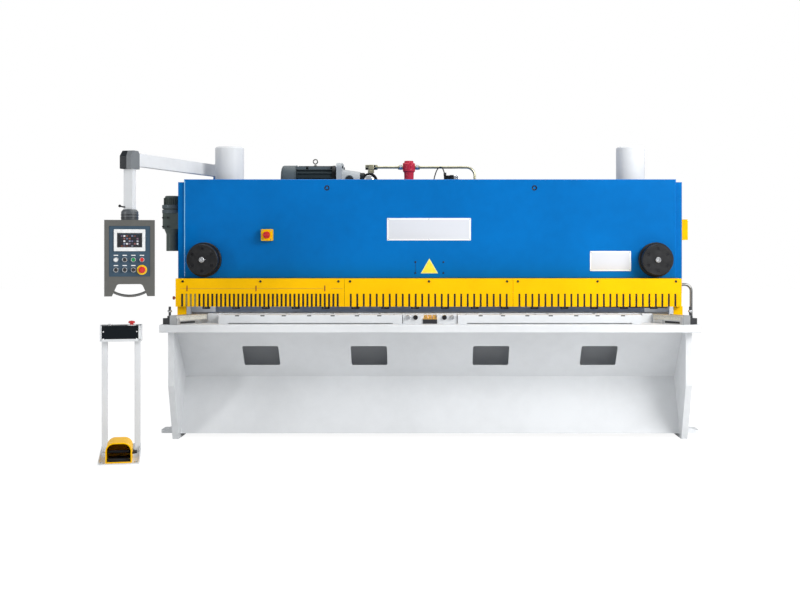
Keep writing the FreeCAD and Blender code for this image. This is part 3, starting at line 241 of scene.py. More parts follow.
def slab(width: float, height: float, thick: float, corner: float, edge: float,
         axis: Axis = Axis.FRONT, at: Point = (0, 0, 0), steps: int = 6) -> np.ndarray:
    """A plate with round corners and a rounded outer edge.

    Each ring is a rounded rectangle: its corner arcs are quarter circles, and
    ring k is drawn in by edge·(1 - cos a) while it rises by edge·sin a, so
    the rim is a quarter round. The base ring is the full outline.

    Args:
        width: the whole size along the axis's first direction.
        height: the whole size along its second direction.
        thick: how far the plate stands out along the axis.
        corner: radius of the four corners.
        edge: radius of the rim.
        axis: the way the plate faces.
        at: the middle of its back face.
        steps: points in each corner arc.

    Returns:
        An array of rings × points × 3.
    """
    a = np.linspace(0, QUARTER, 5)
    drawn = np.concatenate([[0.0], edge * (1 - np.cos(a))])
    rise = np.concatenate([[0.0], thick - edge + edge * np.sin(a)])
    turn = (np.arange(4)[:, None] * np.pi / 2 + np.linspace(0, QUARTER, steps)).ravel()
    signs = np.repeat(np.array([[1, 1], [-1, 1], [-1, -1], [1, -1]], float), steps, axis=0)
    middle = signs * (np.array([width, height]) / 2 - corner)
    radius = np.maximum(corner - drawn, 1e-4)
    inset = (corner - drawn) - radius
    flat = middle[None] + signs[None] * inset[:, None, None] \
        + radius[:, None, None] * np.stack([np.cos(turn), np.sin(turn)], -1)[None]
    local = np.concatenate([flat, np.broadcast_to(rise[:, None, None], flat.shape[:2] + (1,))], -1)
    return local @ axis.frame + np.array(at)


def prism(outline: list[tuple[float, float]], thick: float, edge: float = 0.0,
          axis: Axis = Axis.FRONT, at: Point = (0, 0, 0)) -> np.ndarray:
    """A flat outline carried along an axis, with a bevel of its own edge size.

    The last ring is the outline scaled about its middle by
    1 - edge / (mean radius), which draws it in by about the edge.

    Args:
        outline: the corners, anticlockwise as seen from the front.
        thick: how far it is carried.
        edge: how much the front face is drawn in.
        axis: the way it faces.
        at: where the outline's own zero lies.

    Returns:
        An array of rings × corners × 3.
    """
    flat = np.array(outline, float)
    middle = flat.mean(0)
    shrink = 1 - edge / np.linalg.norm(flat - middle, axis=1).mean()
    rings = [(1.0, 0.0), (1.0, thick - edge), (shrink, thick)] if edge else [(1.0, 0.0), (1.0, thick)]
    local = np.stack([np.concatenate([middle + (flat - middle) * k, np.full((len(flat), 1), h)], 1)
                      for k, h in rings])
    return local @ axis.frame + np.array(at)


def carried(path: np.ndarray, radius: float, steps: int = 16) -> np.ndarray:
    """A round section carried along a path.

    At each path point the ring lies in the plane of two directions at right
    angles to the path; the first is the part of a fixed helper direction that
    is square to the path, so the rings don't twist.

    Args:
        path: n × 3 points.
        radius: of the section.
        steps: points round the section.

    Returns:
        An array of n × steps × 3.
    """
    along = np.gradient(path, axis=0)
    along /= np.linalg.norm(along, axis=1, keepdims=True)
    spread = np.ptp(path, axis=0)
    helper = np.eye(3)[int(np.argmin(spread))]
    side = helper - along * (along @ helper)[:, None]
    side /= np.linalg.norm(side, axis=1, keepdims=True)
    up = np.cross(along, side)
    a = np.arange(steps) * 2 * np.pi / steps
    ring = np.cos(a)[:, None, None] * side[None] + np.sin(a)[:, None, None] * up[None]
    return path[:, None] + radius * ring.transpose(1, 0, 2)


class Screw(Enum):
    """Kinds of fastener head, each a profile of radii and heights per unit size."""

    HEX = ((1.0, 0.0), (1.0, 0.52), (0.93, 0.64), (0.0, 0.64))
    CAP = ((0.94, 0.0), (1.0, 0.08), (1.0, 0.84), (0.92, 0.96), (0.56, 0.96), (0.52, 0.5), (0.0, 0.46))
    DOME = ((1.0, 0.0), (0.97, 0.2), (0.8, 0.42), (0.5, 0.56), (0.3, 0.58), (0.26, 0.36), (0.0, 0.34))
    WASHER = ((1.0, 0.0), (1.0, 0.1), (0.94, 0.15), (0.0, 0.15))
    FLUSH = ((1.0, 0.0), (0.98, 0.05), (0.55, 0.06), (0.5, -0.04), (0.0, -0.05))

    def head(self, radius: float, axis: Axis, turn: float = 15.0) -> np.ndarray:
        """The head's surface around its own origin.

        Args:
            radius: of the head, in metres.
            axis: the way the head faces.
            turn: degrees that a hexagon is turned by.

        Returns:
            An array of rings × points × 3.
        """
        steps = 6 if self is Screw.HEX else 20
        return turned([(r * radius, h * radius) for r, h in self.value], axis, steps, turn=turn)


def rectangle(x: tuple[float, float], y: float, z: tuple[float, float]) -> np.ndarray:
    """The four corners of an upright rectangle at depth y."""
    return np.array([(a, y, b) for a in x for b in z], float)


def ring_of(count: int, radius: float, axis: Axis, at: Point, turn: float = 0.0) -> np.ndarray:
    """Equally spaced points on a circle square to an axis.

    Args:
        count: how many points.
        radius: of the circle.
        axis: the way the circle faces.
        at: its middle.
        turn: degrees to the first point.

    Returns:
        count × 3 points.
    """
    return turned([(radius, 0.0)], axis, count, at, turn)[0]


# --------------------------------------------------------------- materials


class Socket:
    """A number on a shader's wire, which Python's operators turn into Math nodes."""

    def __init__(self, shader: Shader, wire: bpy.types.NodeSocket) -> None:
        """Wraps one output of a node in the given shader."""
        self.shader = shader
        self.wire = wire

    def _with(self, operation: str, first: object, second: object) -> Socket:
        """One Math node on two values."""
        return self.shader.add("ShaderNodeMath", {"operation": operation}, {0: first, 1: second})

    def __add__(self, other: object) -> Socket:
        """This number plus another."""
        return self._with("ADD", self, other)

    __radd__ = __add__

    def __sub__(self, other: object) -> Socket:
        """This number less another."""
        return self._with("SUBTRACT", self, other)

    def __rsub__(self, other: object) -> Socket:
        """Another number less this one."""
        return self._with("SUBTRACT", other, self)

    def __mul__(self, other: object) -> Socket:
        """This number times another."""
        return self._with("MULTIPLY", self, other)

    __rmul__ = __mul__

    def __truediv__(self, other: object) -> Socket:
        """This number divided by another."""
        return self._with("DIVIDE", self, other)

    def __pow__(self, other: object) -> Socket:
        """This number raised to a power."""
        return self._with("POWER", self, other)

    def __gt__(self, other: object) -> Socket:
        """1 where this number is the greater, and 0 elsewhere."""
        return self._with("GREATER_THAN", self, other)

    def __lt__(self, other: object) -> Socket:
        """1 where this number is the smaller, and 0 elsewhere."""
        return self._with("LESS_THAN", self, other)

    def __mod__(self, other: object) -> Socket:
        """What is left of this number after whole steps of another, never negative."""
        return self._with("FLOORED_MODULO", self, other)

    def __floor__(self) -> Socket:
        """The whole number at or below a value."""
        return self._with("FLOOR", self, 0.0)

    def __abs__(self) -> Socket:
        """The number without its sign."""
        return self._with("ABSOLUTE", self, 0.0)

    def ramp(self, low: float, high: float) -> Socket:
        """A straight rise from 0 at low to 1 at high, held flat outside them."""
        return self.shader.add("ShaderNodeMapRange", {"clamp": True}, {0: self, 1: low, 2: high})


class Shader:
    """A material and its node tree, filled through one method."""

    def __init__(self, name: str) -> None:
        """Makes an empty material with a principled surface."""
        self.material = bpy.data.materials.new(name)
        self.material.use_nodes = True
        self.tree = self.material.node_tree
        self.tree.nodes.clear()
        self.place = self.node("ShaderNodeTexCoord", {}, {}).outputs["Object"]
        self.parts: tuple[Socket, Socket, Socket] | None = None

    def node(self, kind: str, settings: dict, inputs: dict) -> bpy.types.Node:
        """Adds any node.

        Args:
            kind: the node's type.
            settings: its properties, which are set first; "stops" are the
                places and colours of a colour ramp, its two ends first.
            inputs: values or wires, by socket name or number.

        Returns:
            The new node.
        """
        made = self.tree.nodes.new(kind)
        for key, value in settings.items():
            if key == "stops":
                ends = made.color_ramp.elements
                stops = [ends[0], ends[1]] + [ends.new(0.5) for _ in value[2:]]
                for stop, (where, colour) in zip(stops, value):
                    stop.position, stop.color = where, (*colour, 1.0)
            else:
                setattr(made, key, value)
        for key, value in inputs.items():
            wire = value.wire if isinstance(value, Socket) else value
            if isinstance(wire, bpy.types.NodeSocket):
                self.tree.links.new(wire, made.inputs[key])
            else:
                if made.inputs[key].type == "RGBA" and len(wire) == 3:
                    wire = (*wire, 1.0)
                made.inputs[key].default_value = wire
        return made

    def add(self, kind: str, settings: dict, inputs: dict, output: int | str = 0) -> Socket:
        """Adds a node and returns one of its outputs, wrapped."""
        return Socket(self, self.node(kind, settings, inputs).outputs[output])

    def xyz(self) -> tuple[Socket, Socket, Socket]:
        """The place on the shear as three numbers, in metres."""
        if self.parts is None:
            split = self.node("ShaderNodeSeparateXYZ", {}, {0: self.place})
            self.parts = tuple(Socket(self, split.outputs[i]) for i in range(3))
        return self.parts

    def noise(self, scale: float, detail: float = 3.0, stretch: Point = (1, 1, 1),
              rough: float = 0.55) -> Socket:
        """Smooth noise from 0 to 1.

        Args:
            scale: lumps in a metre.
            detail: how many finer layers it has.
            stretch: a factor on each axis, small along the grain.
            rough: how strong the finer layers are.

        Returns:
            The noise.
        """
        where = self.place
        if stretch != (1, 1, 1):
            where = self.node("ShaderNodeVectorMath", {"operation": "MULTIPLY"},
                              {0: where, 1: stretch}).outputs[0]
        return self.add("ShaderNodeTexNoise", {}, {"Vector": where, "Scale": scale, "Detail": detail,
                                                   "Roughness": rough})

    def blend(self, amount: object, low: object, high: object) -> bpy.types.NodeSocket:
        """A colour that goes from low at 0 to high at 1."""
        return self.node("ShaderNodeMix", {"data_type": "RGBA", "clamp_factor": True},
                         {0: amount, 6: low, 7: high}).outputs[2]

    def facing(self, axis: int) -> Socket:
        """How far the surface faces along one axis, from -1 to 1."""
        normal = self.node("ShaderNodeNewGeometry", {}, {}).outputs["Normal"]
        return Socket(self, self.node("ShaderNodeSeparateXYZ", {}, {0: normal}).outputs[axis])

    def close(self, colour: object, roughness: object, metallic: object = 0.0,
              height: Socket | None = None, depth: float = 0.001, coat: float = 0.0,
              sheen: float = 0.5) -> bpy.types.Material:
        """Joins everything to the surface.

        Args:
            colour: the base colour, as numbers or a wire.
            roughness: a number or a wrapped wire.
            metallic: the same.
            height: the bump's height from 0 to 1, if it has one.
            depth: how far a height of 1 stands out, in metres.
            coat: weight of the clear coat.
            sheen: the strength of the reflection, the same all over.

        Returns:
            The material.
        """
        inputs = {"Base Color": colour, "Roughness": roughness, "Metallic": metallic, "Coat Weight": coat,
                  "Coat Roughness": 0.12, "Specular IOR Level": sheen}
        if height is not None:
            inputs["Normal"] = self.node("ShaderNodeBump", {}, {"Strength": 1.0, "Distance": depth,
                                                                "Height": height}).outputs[0]
        surface = self.node("ShaderNodeBsdfPrincipled", {}, inputs)
        self.node("ShaderNodeOutputMaterial", {}, {0: surface.outputs[0]})
        return self.material


@dataclass(frozen=True)
class SprayedPaint:
    """Machine enamel: orange peel, slow changes of tone, dust on top and a few rubbed spots."""

    name: str
    colour: Colour
    gloss: float = 0.34
    tone: float = 0.10
    dust: float = 0.25
    peel: float = 0.00012
    coat: float = 0.10
    sheen: float = 0.05

    def colour_of(self, shader: Shader) -> object:
        """The paint's own colour, before tone and dust."""
        return self.colour

    def make(self) -> bpy.types.Material:
        """Builds the material."""
        shader = Shader(self.name)
        base = self.colour_of(shader)
        slow = shader.noise(1.6, 2.0)
        cloud = shader.noise(14.0, 4.0)
        darker = shader.node("ShaderNodeMix", {"data_type": "RGBA", "blend_type": "MULTIPLY"},
                             {0: 1.0, 6: base, 7: (1 - 2.2 * self.tone,) * 3}).outputs[2]
        toned = shader.blend((slow * 0.7 + cloud * 0.3).ramp(0.62, 0.36), base, darker)
        flat = shader.facing(2).ramp(0.6, 0.95)
        specks = shader.noise(90.0, 4.0).ramp(0.45, 0.75)
        dusty = flat * (specks * 0.6 + 0.4) * self.dust
        covered = shader.blend(dusty, toned, (0.36, 0.35, 0.33))
        grain = shader.noise(420.0, 2.0)
        wipe = shader.noise(30.0, 3.0, (0.25, 1.0, 1.0))
        rough = self.gloss + wipe * 0.10 - 0.05 + dusty * 0.5 + cloud * 0.06
        return shader.close(covered, rough, height=grain, depth=self.peel, coat=self.coat, sheen=self.sheen)


@dataclass(frozen=True)
class TwoTonePaint(SprayedPaint):
    """Two colours that meet at a line along one axis, such as the masked line across the side frames;
    blurred, it also paints the highlight on the cover's bend.
    """

    lower: Colour = (0.8, 0.8, 0.8)
    line: float = 0.85
    along: int = 2
    blur: float = 0.0006

    def colour_of(self, shader: Shader) -> object:
        """Picks the colour by place, with a line as sharp as masking tape leaves, or blurred, as for the
        painted highlight on the cover's bend.
        """
        place = shader.xyz()[self.along] + (shader.noise(120.0, 2.0) - 0.5) * 0.0012
        return shader.blend(place.ramp(self.line - self.blur, self.line + self.blur), self.lower, self.colour)


@dataclass(frozen=True)
class GroundSteel:
    """Bare steel with its grinding marks along one axis and a film of oil."""

    name: str
    colour: Colour
    grain: Point = (0.02, 1.0, 1.0)
    rough: float = 0.34
    stain: float = 0.18

    def make(self) -> bpy.types.Material:
        """Builds the material."""
        shader = Shader(self.name)
        lines = shader.noise(900.0, 3.0, self.grain)
        oil = shader.noise(9.0, 4.0).ramp(0.4, 0.7)
        spots = shader.noise(60.0, 5.0).ramp(0.62, 0.72)
        worn = shader.blend(lines.ramp(0.3, 0.75), tuple(0.78 * v for v in self.colour), self.colour)
        oiled = shader.blend(oil * self.stain + spots * 0.12, worn, (0.20, 0.17, 0.12))
        return shader.close(oiled, self.rough + lines * 0.22 - 0.1 - oil * 0.05, 1.0, lines, 0.00008)


@dataclass(frozen=True)
class Plated:
    """Plated or cast metal, with the cloudy colour of its plating."""

    name: str
    colour: Colour
    second: Colour
    rough: float = 0.3
    pits: float = 0.00005

    def make(self) -> bpy.types.Material:
        """Builds the material."""
        shader = Shader(self.name)
        cloud = shader.noise(38.0, 4.0)
        fine = shader.noise(700.0, 2.0)
        colour = shader.blend(cloud.ramp(0.35, 0.65), self.colour, self.second)
        return shader.close(colour, self.rough + cloud * 0.16 - 0.08, 1.0, fine, self.pits)


@dataclass(frozen=True)
class JunctionMetal:
    """The junction in the middle of the bench: bright brass on top of dark oiled steel."""

    name: str
    brass: Colour
    steel: Colour
    line: float

    def make(self) -> bpy.types.Material:
        """Builds the material."""
        shader = Shader(self.name)
        cloud = shader.noise(45.0, 4.0)
        lines = shader.noise(900.0, 2.0, (0.05, 1.0, 1.0))
        above = shader.xyz()[2].ramp(self.line - 0.0004, self.line + 0.0004)
        pale = tuple(min(1.0, 1.2 * v) for v in self.brass)
        yellow = shader.blend(cloud.ramp(0.35, 0.65), self.brass, pale)
        dark = shader.blend(lines, self.steel, tuple(1.7 * v for v in self.steel))
        colour = shader.blend(above, dark, yellow)
        return shader.close(colour, 0.42 - above * 0.16 + cloud * 0.1, 1.0, lines, 0.00006)


@dataclass(frozen=True)
class Moulded:
    """Moulded plastic: an even colour with a fine spark-eroded grain and handling shine."""

    name: str
    colour: Colour
    rough: float = 0.42
    grain: float = 0.00006
    coat: float = 0.0
    mottle: float = 0.18

    def make(self) -> bpy.types.Material:
        """Builds the material."""
        shader = Shader(self.name)
        fine = shader.noise(1500.0, 2.0)
        hand = shader.noise(45.0, 3.0)
        pale = tuple(min(1.0, v * (1 + self.mottle) + 0.03 * self.mottle) for v in self.colour)
        colour = shader.blend(hand.ramp(0.3, 0.75), self.colour, pale)
        return shader.close(colour, self.rough + hand * 0.12 - 0.06, 0.0, fine, self.grain, self.coat)


@dataclass(frozen=True)
class TurnedBlack:
    """Blackened steel with the rings that a lathe leaves, around an axis along Y."""

    name: str
    colour: Colour
    centre_x: float
    centre_z: float

    def make(self) -> bpy.types.Material:
        """Builds the material, from |x|, because the disc and its mirror image share it."""
        shader = Shader(self.name)
        x, _, z = shader.xyz()
        dx, dz = abs(x) - self.centre_x, z - self.centre_z
        radius = (dx * dx + dz * dz) ** 0.5
        rings = (radius * 620.0 + shader.noise(8.0, 2.0) * 0.6) % 1.0
        groove = abs(rings - 0.5) * 2.0
        cloud = shader.noise(24.0, 4.0)
        pale = tuple(v * 2.0 + 0.010 for v in self.colour)
        colour = shader.blend(cloud.ramp(0.45, 0.8) * 0.6, self.colour, pale)
        return shader.close(colour, 0.40 - groove * 0.12 + cloud * 0.15, 0.3, groove, 0.00006, 0.08)


@dataclass(frozen=True)
class ScreenGlass:
    """The dark glass of the control box's display, with faint bare tiles behind it."""

    name: str
    about: tuple[float, float]
    turn: float
    top: float
    width: float
    height: float
    columns: float = 9.0
    rows: float = 6.0

    def make(self) -> bpy.types.Material:
        """Builds the material: a panel of plain tiles under a darker strip."""
        shader = Shader(self.name)
        x, y, z = shader.xyz()
        a = math.radians(self.turn)
        across = (x - self.about[0]) * math.cos(a) + (y - self.about[1]) * math.sin(a)
        u = across / self.width + 0.5
        v = (self.top - z) / self.height
        column, row = u * self.columns, v * self.rows
        cell_u, cell_v = column % 1.0, row % 1.0
        inside = (cell_u > 0.15) * (cell_u < 0.85) * (cell_v > 0.2) * (cell_v < 0.8)
        tile = inside * (v > 0.18) * (u > 0.12) * (u < 0.90)
        strip = (v > 0.07) * (v < 0.15) * (u > 0.04) * (u < 0.96)
        cell = shader.node("ShaderNodeCombineXYZ", {}, {0: math.floor(column), 1: math.floor(row)}).outputs[0]
        chance = shader.add("ShaderNodeTexWhiteNoise", {}, {"Vector": cell})
        hue = shader.node("ShaderNodeValToRGB", {"stops": [
            (0.0, (0.012, 0.012, 0.016)), (1.0, (0.62, 0.60, 0.62)), (0.30, (0.03, 0.03, 0.05)),
            (0.50, (0.34, 0.10, 0.05)), (0.72, (0.10, 0.13, 0.26))]}, {0: chance}).outputs[0]
        colour = shader.blend(tile * 0.9, (0.008, 0.009, 0.012), hue)
        colour = shader.blend(strip * 0.5, colour, (0.03, 0.10, 0.17))
        smear = shader.noise(60.0, 3.0)
        return shader.close(colour, 0.12 + smear * 0.08, 0.0, coat=0.5)


class Finishes:
    """Every finish of the shear, made once and then shared."""

    def __init__(self) -> None:
        """Builds the materials."""
        white = linear("DEE0E2")
        blue = linear("006DBA")
        yellow = linear("FFC300")
        self.blue = SprayedPaint("blue_enamel", blue, 0.33, 0.07).make()
        # The cover's bend: a painted highlight, pale blue fading into the plain blue below Z 1.215, under a
        # full glossy coat.
        self.highlight_blue = TwoTonePaint("bend_painted_highlight", linear("52B4E8"), 0.32, 0.03, 0.05, 0.00002, 1.0, 1.0,
                                       lower=blue, line=1.215, blur=0.060).make()
        self.frame = TwoTonePaint("frame_enamel", blue, 0.33, 0.07, lower=white, line=0.866).make()
        self.white = SprayedPaint("white_enamel", white, 0.36, 0.035).make()
        self.yellow = SprayedPaint("yellow_enamel", yellow, 0.38, 0.05, 0.10).make()
        self.black = SprayedPaint("black_enamel", linear("1B1C1E"), 0.42, 0.12).make()
        self.grey = SprayedPaint("grey_powder_coat", linear("676764"), 0.46, 0.06, 0.15, 0.0002).make()
        self.inset = SprayedPaint("front_foil", linear("455868"), 0.5, 0.05, 0.1, 0.00006).make()
        self.slate = SprayedPaint("motor_enamel", linear("2D373B"), 0.45, 0.10, 0.15).make()
        self.cowl = SprayedPaint("cowl_enamel", linear("5C666B"), 0.45, 0.10, 0.3).make()
        self.pump = TwoTonePaint("pump_enamel", linear("1E2226"), 0.4, 0.12, 0.1,
                                 lower=linear("B4B9BC"), line=-0.500, along=0).make()
        self.drive = SprayedPaint("drive_enamel", linear("57605C"), 0.45, 0.10, 0.3).make()
        self.red_paint = SprayedPaint("filter_enamel", linear("C23248"), 0.32, 0.06, 0.1).make()
        self.steel = GroundSteel("ground_steel", (0.46, 0.47, 0.49)).make()
        # Painted shade: ground steel made darker for the upper blade and plungers, which sit in shade behind
        # the guard; its oil stains are real.
        self.shade_darkened_steel = GroundSteel("oiled_steel_painted_shade", (0.13, 0.135, 0.14), rough=0.42).make()
        self.tube_steel = GroundSteel("tube_steel", (0.26, 0.26, 0.255), (1.0, 1.0, 0.03), 0.3).make()
        self.bar_steel = GroundSteel("arm_steel", (0.62, 0.63, 0.64), (1.0, 0.05, 1.0), 0.42, 0.12).make()
        self.rod = GroundSteel("hard_chrome", (0.62, 0.63, 0.65), (1.0, 1.0, 0.03), 0.2, 0.05).make()
        self.zinc = Plated("yellow_zinc", (0.42, 0.40, 0.26), (0.54, 0.52, 0.38)).make()
        self.bright_zinc = Plated("bright_zinc", (0.60, 0.61, 0.63), (0.70, 0.71, 0.72), 0.26).make()
        self.junction = JunctionMetal("junction_metal", (0.86, 0.55, 0.17), (0.05, 0.05, 0.055), 0.791).make()
        # Black oxide steel, also used as painted shade in the notches along the bench's front edge.
        self.oxide_and_painted_shade = Plated("black_oxide_and_painted_shade", (0.030, 0.030, 0.034), (0.055, 0.055, 0.06), 0.38).make()
        self.disc = TurnedBlack("turned_black", (0.008, 0.008, 0.009), *DISC_CENTRE).make()
        self.plastic = Moulded("dark_plastic", linear("26272A")).make()
        self.white_plastic = Moulded("white_plastic", linear("E2E3E3"), 0.3, coat=0.3).make()
        self.red_plastic = Moulded("red_plastic", linear("C81C1A"), 0.28, coat=0.4).make()
        self.green_plastic = Moulded("green_plastic", linear("138A4C"), 0.28, coat=0.4).make()
        self.yellow_plastic = Moulded("yellow_plastic", linear("F6C400"), 0.32, coat=0.3).make()
        self.plate_white = Moulded("plate_white", linear("EFF0F0"), 0.35, coat=0.2, mottle=0.01).make()
        self.plate_grey = Moulded("plate_grey", linear("D3D6DD"), 0.4, coat=0.2, mottle=0.01).make()
        self.scale = Moulded("scale_strip", linear("C4C2B8"), 0.4, mottle=0.25).make()
        self.olive = Moulded("olive_strip", linear("8A8450"), 0.45, mottle=0.5).make()
        self.seam = Moulded("seam_yellow", linear("D39C00"), 0.45).make()
        self.knob_red = Moulded("knob_red", linear("7E231C"), 0.35).make()
        self.desk = SprayedPaint("desk_enamel", linear("161B1F"), 0.45, 0.08, 0.05).make()
        self.plate_yellow = Moulded("plate_yellow", linear("F0DA38"), 0.35, coat=0.1).make()
        self.plate_rim = Moulded("plate_rim", linear("E4E68A"), 0.35, coat=0.1).make()
        # Black rubber, also used as painted shade behind the guard's comb and in the gaps under the squaring
        # arms.
        self.rubber_and_painted_shade = Moulded("black_rubber_and_painted_shade", linear("1C1D1F"), 0.75, 0.0002).make()
        self.hub = Moulded("hub_casting", linear("4C5054"), 0.40, 0.0001).make()
        # The elbow is near-black left of X = -1.8526 and grey to its right.
        self.elbow = TwoTonePaint("elbow_casting", linear("7A7E81"), 0.44, 0.05, 0.05,
                                  lower=linear("22272B"), line=-1.8526, along=0).make()
        self.glass = ScreenGlass("screen_glass", HANG, BOX_TURN, 1.350, 0.140, 0.095).make()


# ------------------------------------------------------------ sub-assemblies


@dataclass
class FrontCover:
    """What is on the tall front cover: bare plates, a painted highlight on the left bend, bushes and the
    switch box's trim.

    A plate's four numbers are its middle X and Z, its width and its height.
    """

    finishes: Finishes
    name_plate: tuple[float, float, float, float] = (-0.007, 1.380, 0.562, 0.150)
    label_plate: tuple[float, float, float, float] = (1.209, 1.167, 0.275, 0.134)
    plate_thick: float = 0.0016
    rivet_r: float = 0.0035
    sign_at: tuple[float, float] = (-0.004, 1.118)
    sign_width: float = 0.116
    sign_ratio: float = 0.866
    sign_field: float = 0.84
    sign_rivet_dx: float = 0.094
    sign_rivet_z: tuple[float, float] = (1.087, 1.160)
    sign_rivet_r: float = 0.0062
    bend_r: float = 0.0080
    bend_skin: float = 0.0004
    bend_foot: float = 0.012
    lift_holes: tuple[float, float] = (-0.690, 0.700)
    lift_drop: float = 0.058
    bush_r: float = 0.0175
    lid_thick: float = 0.0022

    def face(self) -> float:
        """The depth of the cover's front face."""
        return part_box("front_panel")[0].y

    def plate(self, name: str, spec: tuple[float, float, float, float], inset: float, columns: int) -> None:
        """A bare plate with a greyer field, and rivets along its upper and lower edges.

        Args:
            name: the piece's name.
            spec: middle X, middle Z, width and height.
            inset: how far the rivets lie from the edges.
            columns: how many rivets there are in each row.
        """
        x, z, width, height = spec
        front, border = self.face(), 2.6 * inset
        Surface().grid(slab(width, height, self.plate_thick, 0.004, 0.0006, at=(x, front, z))).piece(
            name, self.finishes.plate_white, "white_plastic")
        field_at = (x, front - self.plate_thick, z)
        Surface().grid(slab(width - border, height - border, 0.0004, 0.002, 0.0002, at=field_at)).piece(
            name + "_field", self.finishes.plate_grey, "white_plastic")
        half_w, half_h = width / 2 - inset, height / 2 - inset
        spread = np.linspace(x - half_w, x + half_w, columns)
        places = np.array([(a, front - self.plate_thick, b) for a in spread
                           for b in (z - half_h, z + half_h)])
        Surface().copies(Screw.DOME.head(self.rivet_r, Axis.FRONT), places).piece(
            name + "_rivets", self.finishes.bright_zinc, "zinc_steel")

    def sign(self) -> None:
        """The bare yellow triangle with its pale rim, four dark rivets around it and a line between two."""
        x, z = self.sign_at
        front = self.face()
        half, height = self.sign_width / 2, self.sign_width * self.sign_ratio
        outline = [(-half, -height / 3), (half, -height / 3), (0, 2 * height / 3)]
        small = [(self.sign_field * a, self.sign_field * b) for a, b in outline]
        Surface().grid(prism(outline, 0.0012, 0.0004, at=(x, front, z))).piece(
            "triangle_rim", self.finishes.plate_rim, "yellow_paint")
        Surface().grid(prism(small, 0.0019, 0.0003, at=(x, front, z))).piece(
            "triangle_plate", self.finishes.plate_yellow, "yellow_paint")
        left, right = x - self.sign_rivet_dx, x + self.sign_rivet_dx
        places = rectangle((left, right), front, self.sign_rivet_z)
        line = slab(0.0018, 0.070, 0.0010, 0.0004, 0.0002, at=(left, front, sum(self.sign_rivet_z) / 2))
        Surface().copies(Screw.DOME.head(self.sign_rivet_r, Axis.FRONT), places).grid(line).piece(
            "cover_rivets", self.finishes.oxide_and_painted_shade, "dark_plastic")

    def bend(self) -> None:
        """A skin on the left bend, a quarter circle carried up the cover, with a painted highlight: pale blue
        above, fading into the plain blue lower down, under a glossy coat.

        Point (i, j) lies at height z_i and at angle a_j from the front to the
        left. The last two points of a ring lie inside the cover and close it.
        """
        low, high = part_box("front_panel")
        x, y = low.x + self.bend_r, low.y + self.bend_r
        radius = self.bend_r + self.bend_skin
        a = np.linspace(0.0, QUARTER, 12)
        across = np.stack([x - radius * np.sin(a), y - radius * np.cos(a)], -1)
        inner = np.array([[low.x + 0.004, y - 0.002], [x - 0.006, low.y + 0.004]])
        ring = np.concatenate([across, inner])
        heights = np.linspace(low.z + self.bend_foot, high.z - self.bend_r, 8)
        grid = np.concatenate([np.broadcast_to(ring, (8, *ring.shape)),
                               np.broadcast_to(heights[:, None, None], (8, len(ring), 1))], -1)
        Surface().grid(grid).piece("cover_bend_highlight", self.finishes.highlight_blue, "blue_paint", smooth=30)

    def bushes(self) -> None:
        """The turned bushes in the two lifting holes, each closed by a blue plug."""
        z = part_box("front_panel")[1].z - self.lift_drop
        bush = [(0.0100, -0.003), (0.0100, 0.0025), (0.0150, 0.0035), (self.bush_r, 0.0015),
                (self.bush_r, 0.0), (0.0152, 0.0), (0.0152, -0.003), (0.0100, -0.003)]
        plug = [(0.0, -0.0028), (0.0099, -0.0028), (0.0099, 0.0004), (0.0, 0.0008)]
        made, plugs = Surface(), Surface()
        for x in self.lift_holes:
            at = (x, self.face(), z)
            made.grid(turned(bush, Axis.FRONT, 32, at), caps=False)
            plugs.grid(turned(plug, Axis.FRONT, 32, at))
        made.piece("lift_bushes", self.finishes.oxide_and_painted_shade, "dark_plastic")
        plugs.piece("lift_plugs", self.finishes.blue, "blue_paint")

    def switch_box(self) -> None:
        """The lid edge and four screws of the yellow switch box, and the grip on its knob."""
        low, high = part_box("isolator_box")
        x, z = (low.x + high.x) / 2, (low.z + high.z) / 2
        size = high.x - low.x
        lid = slab(size - 0.008, size - 0.008, self.lid_thick, 0.006, 0.001, at=(x, low.y, z))
        Surface().grid(lid).piece("switch_lid", self.finishes.yellow, "yellow_paint")
        half = size / 2 - 0.010
        places = rectangle((x - half, x + half), low.y - self.lid_thick, (z - half, z + half))
        Surface().copies(Screw.CAP.head(0.0032, Axis.FRONT), places).piece(
            "switch_screws", self.finishes.bright_zinc, "zinc_steel")
        grip = slab(0.046, 0.013, 0.009, 0.004, 0.002, at=(x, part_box("isolator_knob")[0].y, z))
        Surface().grid(grip).piece("switch_grip", self.finishes.red_plastic, "red_plastic")

    def build(self) -> None:
        """Makes everything on the cover."""
        self.plate("name_plate", self.name_plate, 0.008, 3)
        self.plate("label_plate", self.label_plate, 0.007, 2)
        self.sign()
        self.bend()
        self.bushes()
        self.switch_box()


@dataclass
class GuideCovers:
    """The bolts and centre nut of the two black guide covers."""

    finishes: Finishes
    centre: tuple[float, float] = DISC_CENTRE
    bolt_circle: float = 0.074
    bolt_depth: float = 0.018

    def build(self) -> None:
        """Six cap screws sunk in each disc, and a slotted screw in its boss."""
        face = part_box("guide_covers")[0].y
        x, z = self.centre
        bolts, bosses = Surface(), Surface()
        for side in (-1, 1):
            places = ring_of(6, self.bolt_circle, Axis.FRONT, (side * x, face + self.bolt_depth, z), 30)
            bolts.copies(Screw.CAP.head(0.0078, Axis.FRONT), places)
            bosses.grid(turned([(0.0175, -0.0105), (0.0178, 0.002), (0.0150, 0.0045), (0.007, 0.0045),
                                (0.006, 0.001), (0.0, 0.0005)], Axis.FRONT, 32, (side * x, face, z)))
        bolts.piece("cover_bolts", self.finishes.oxide_and_painted_shade, "dark_plastic")
        bosses.piece("cover_grease_plugs", self.finishes.bright_zinc, "zinc_steel")


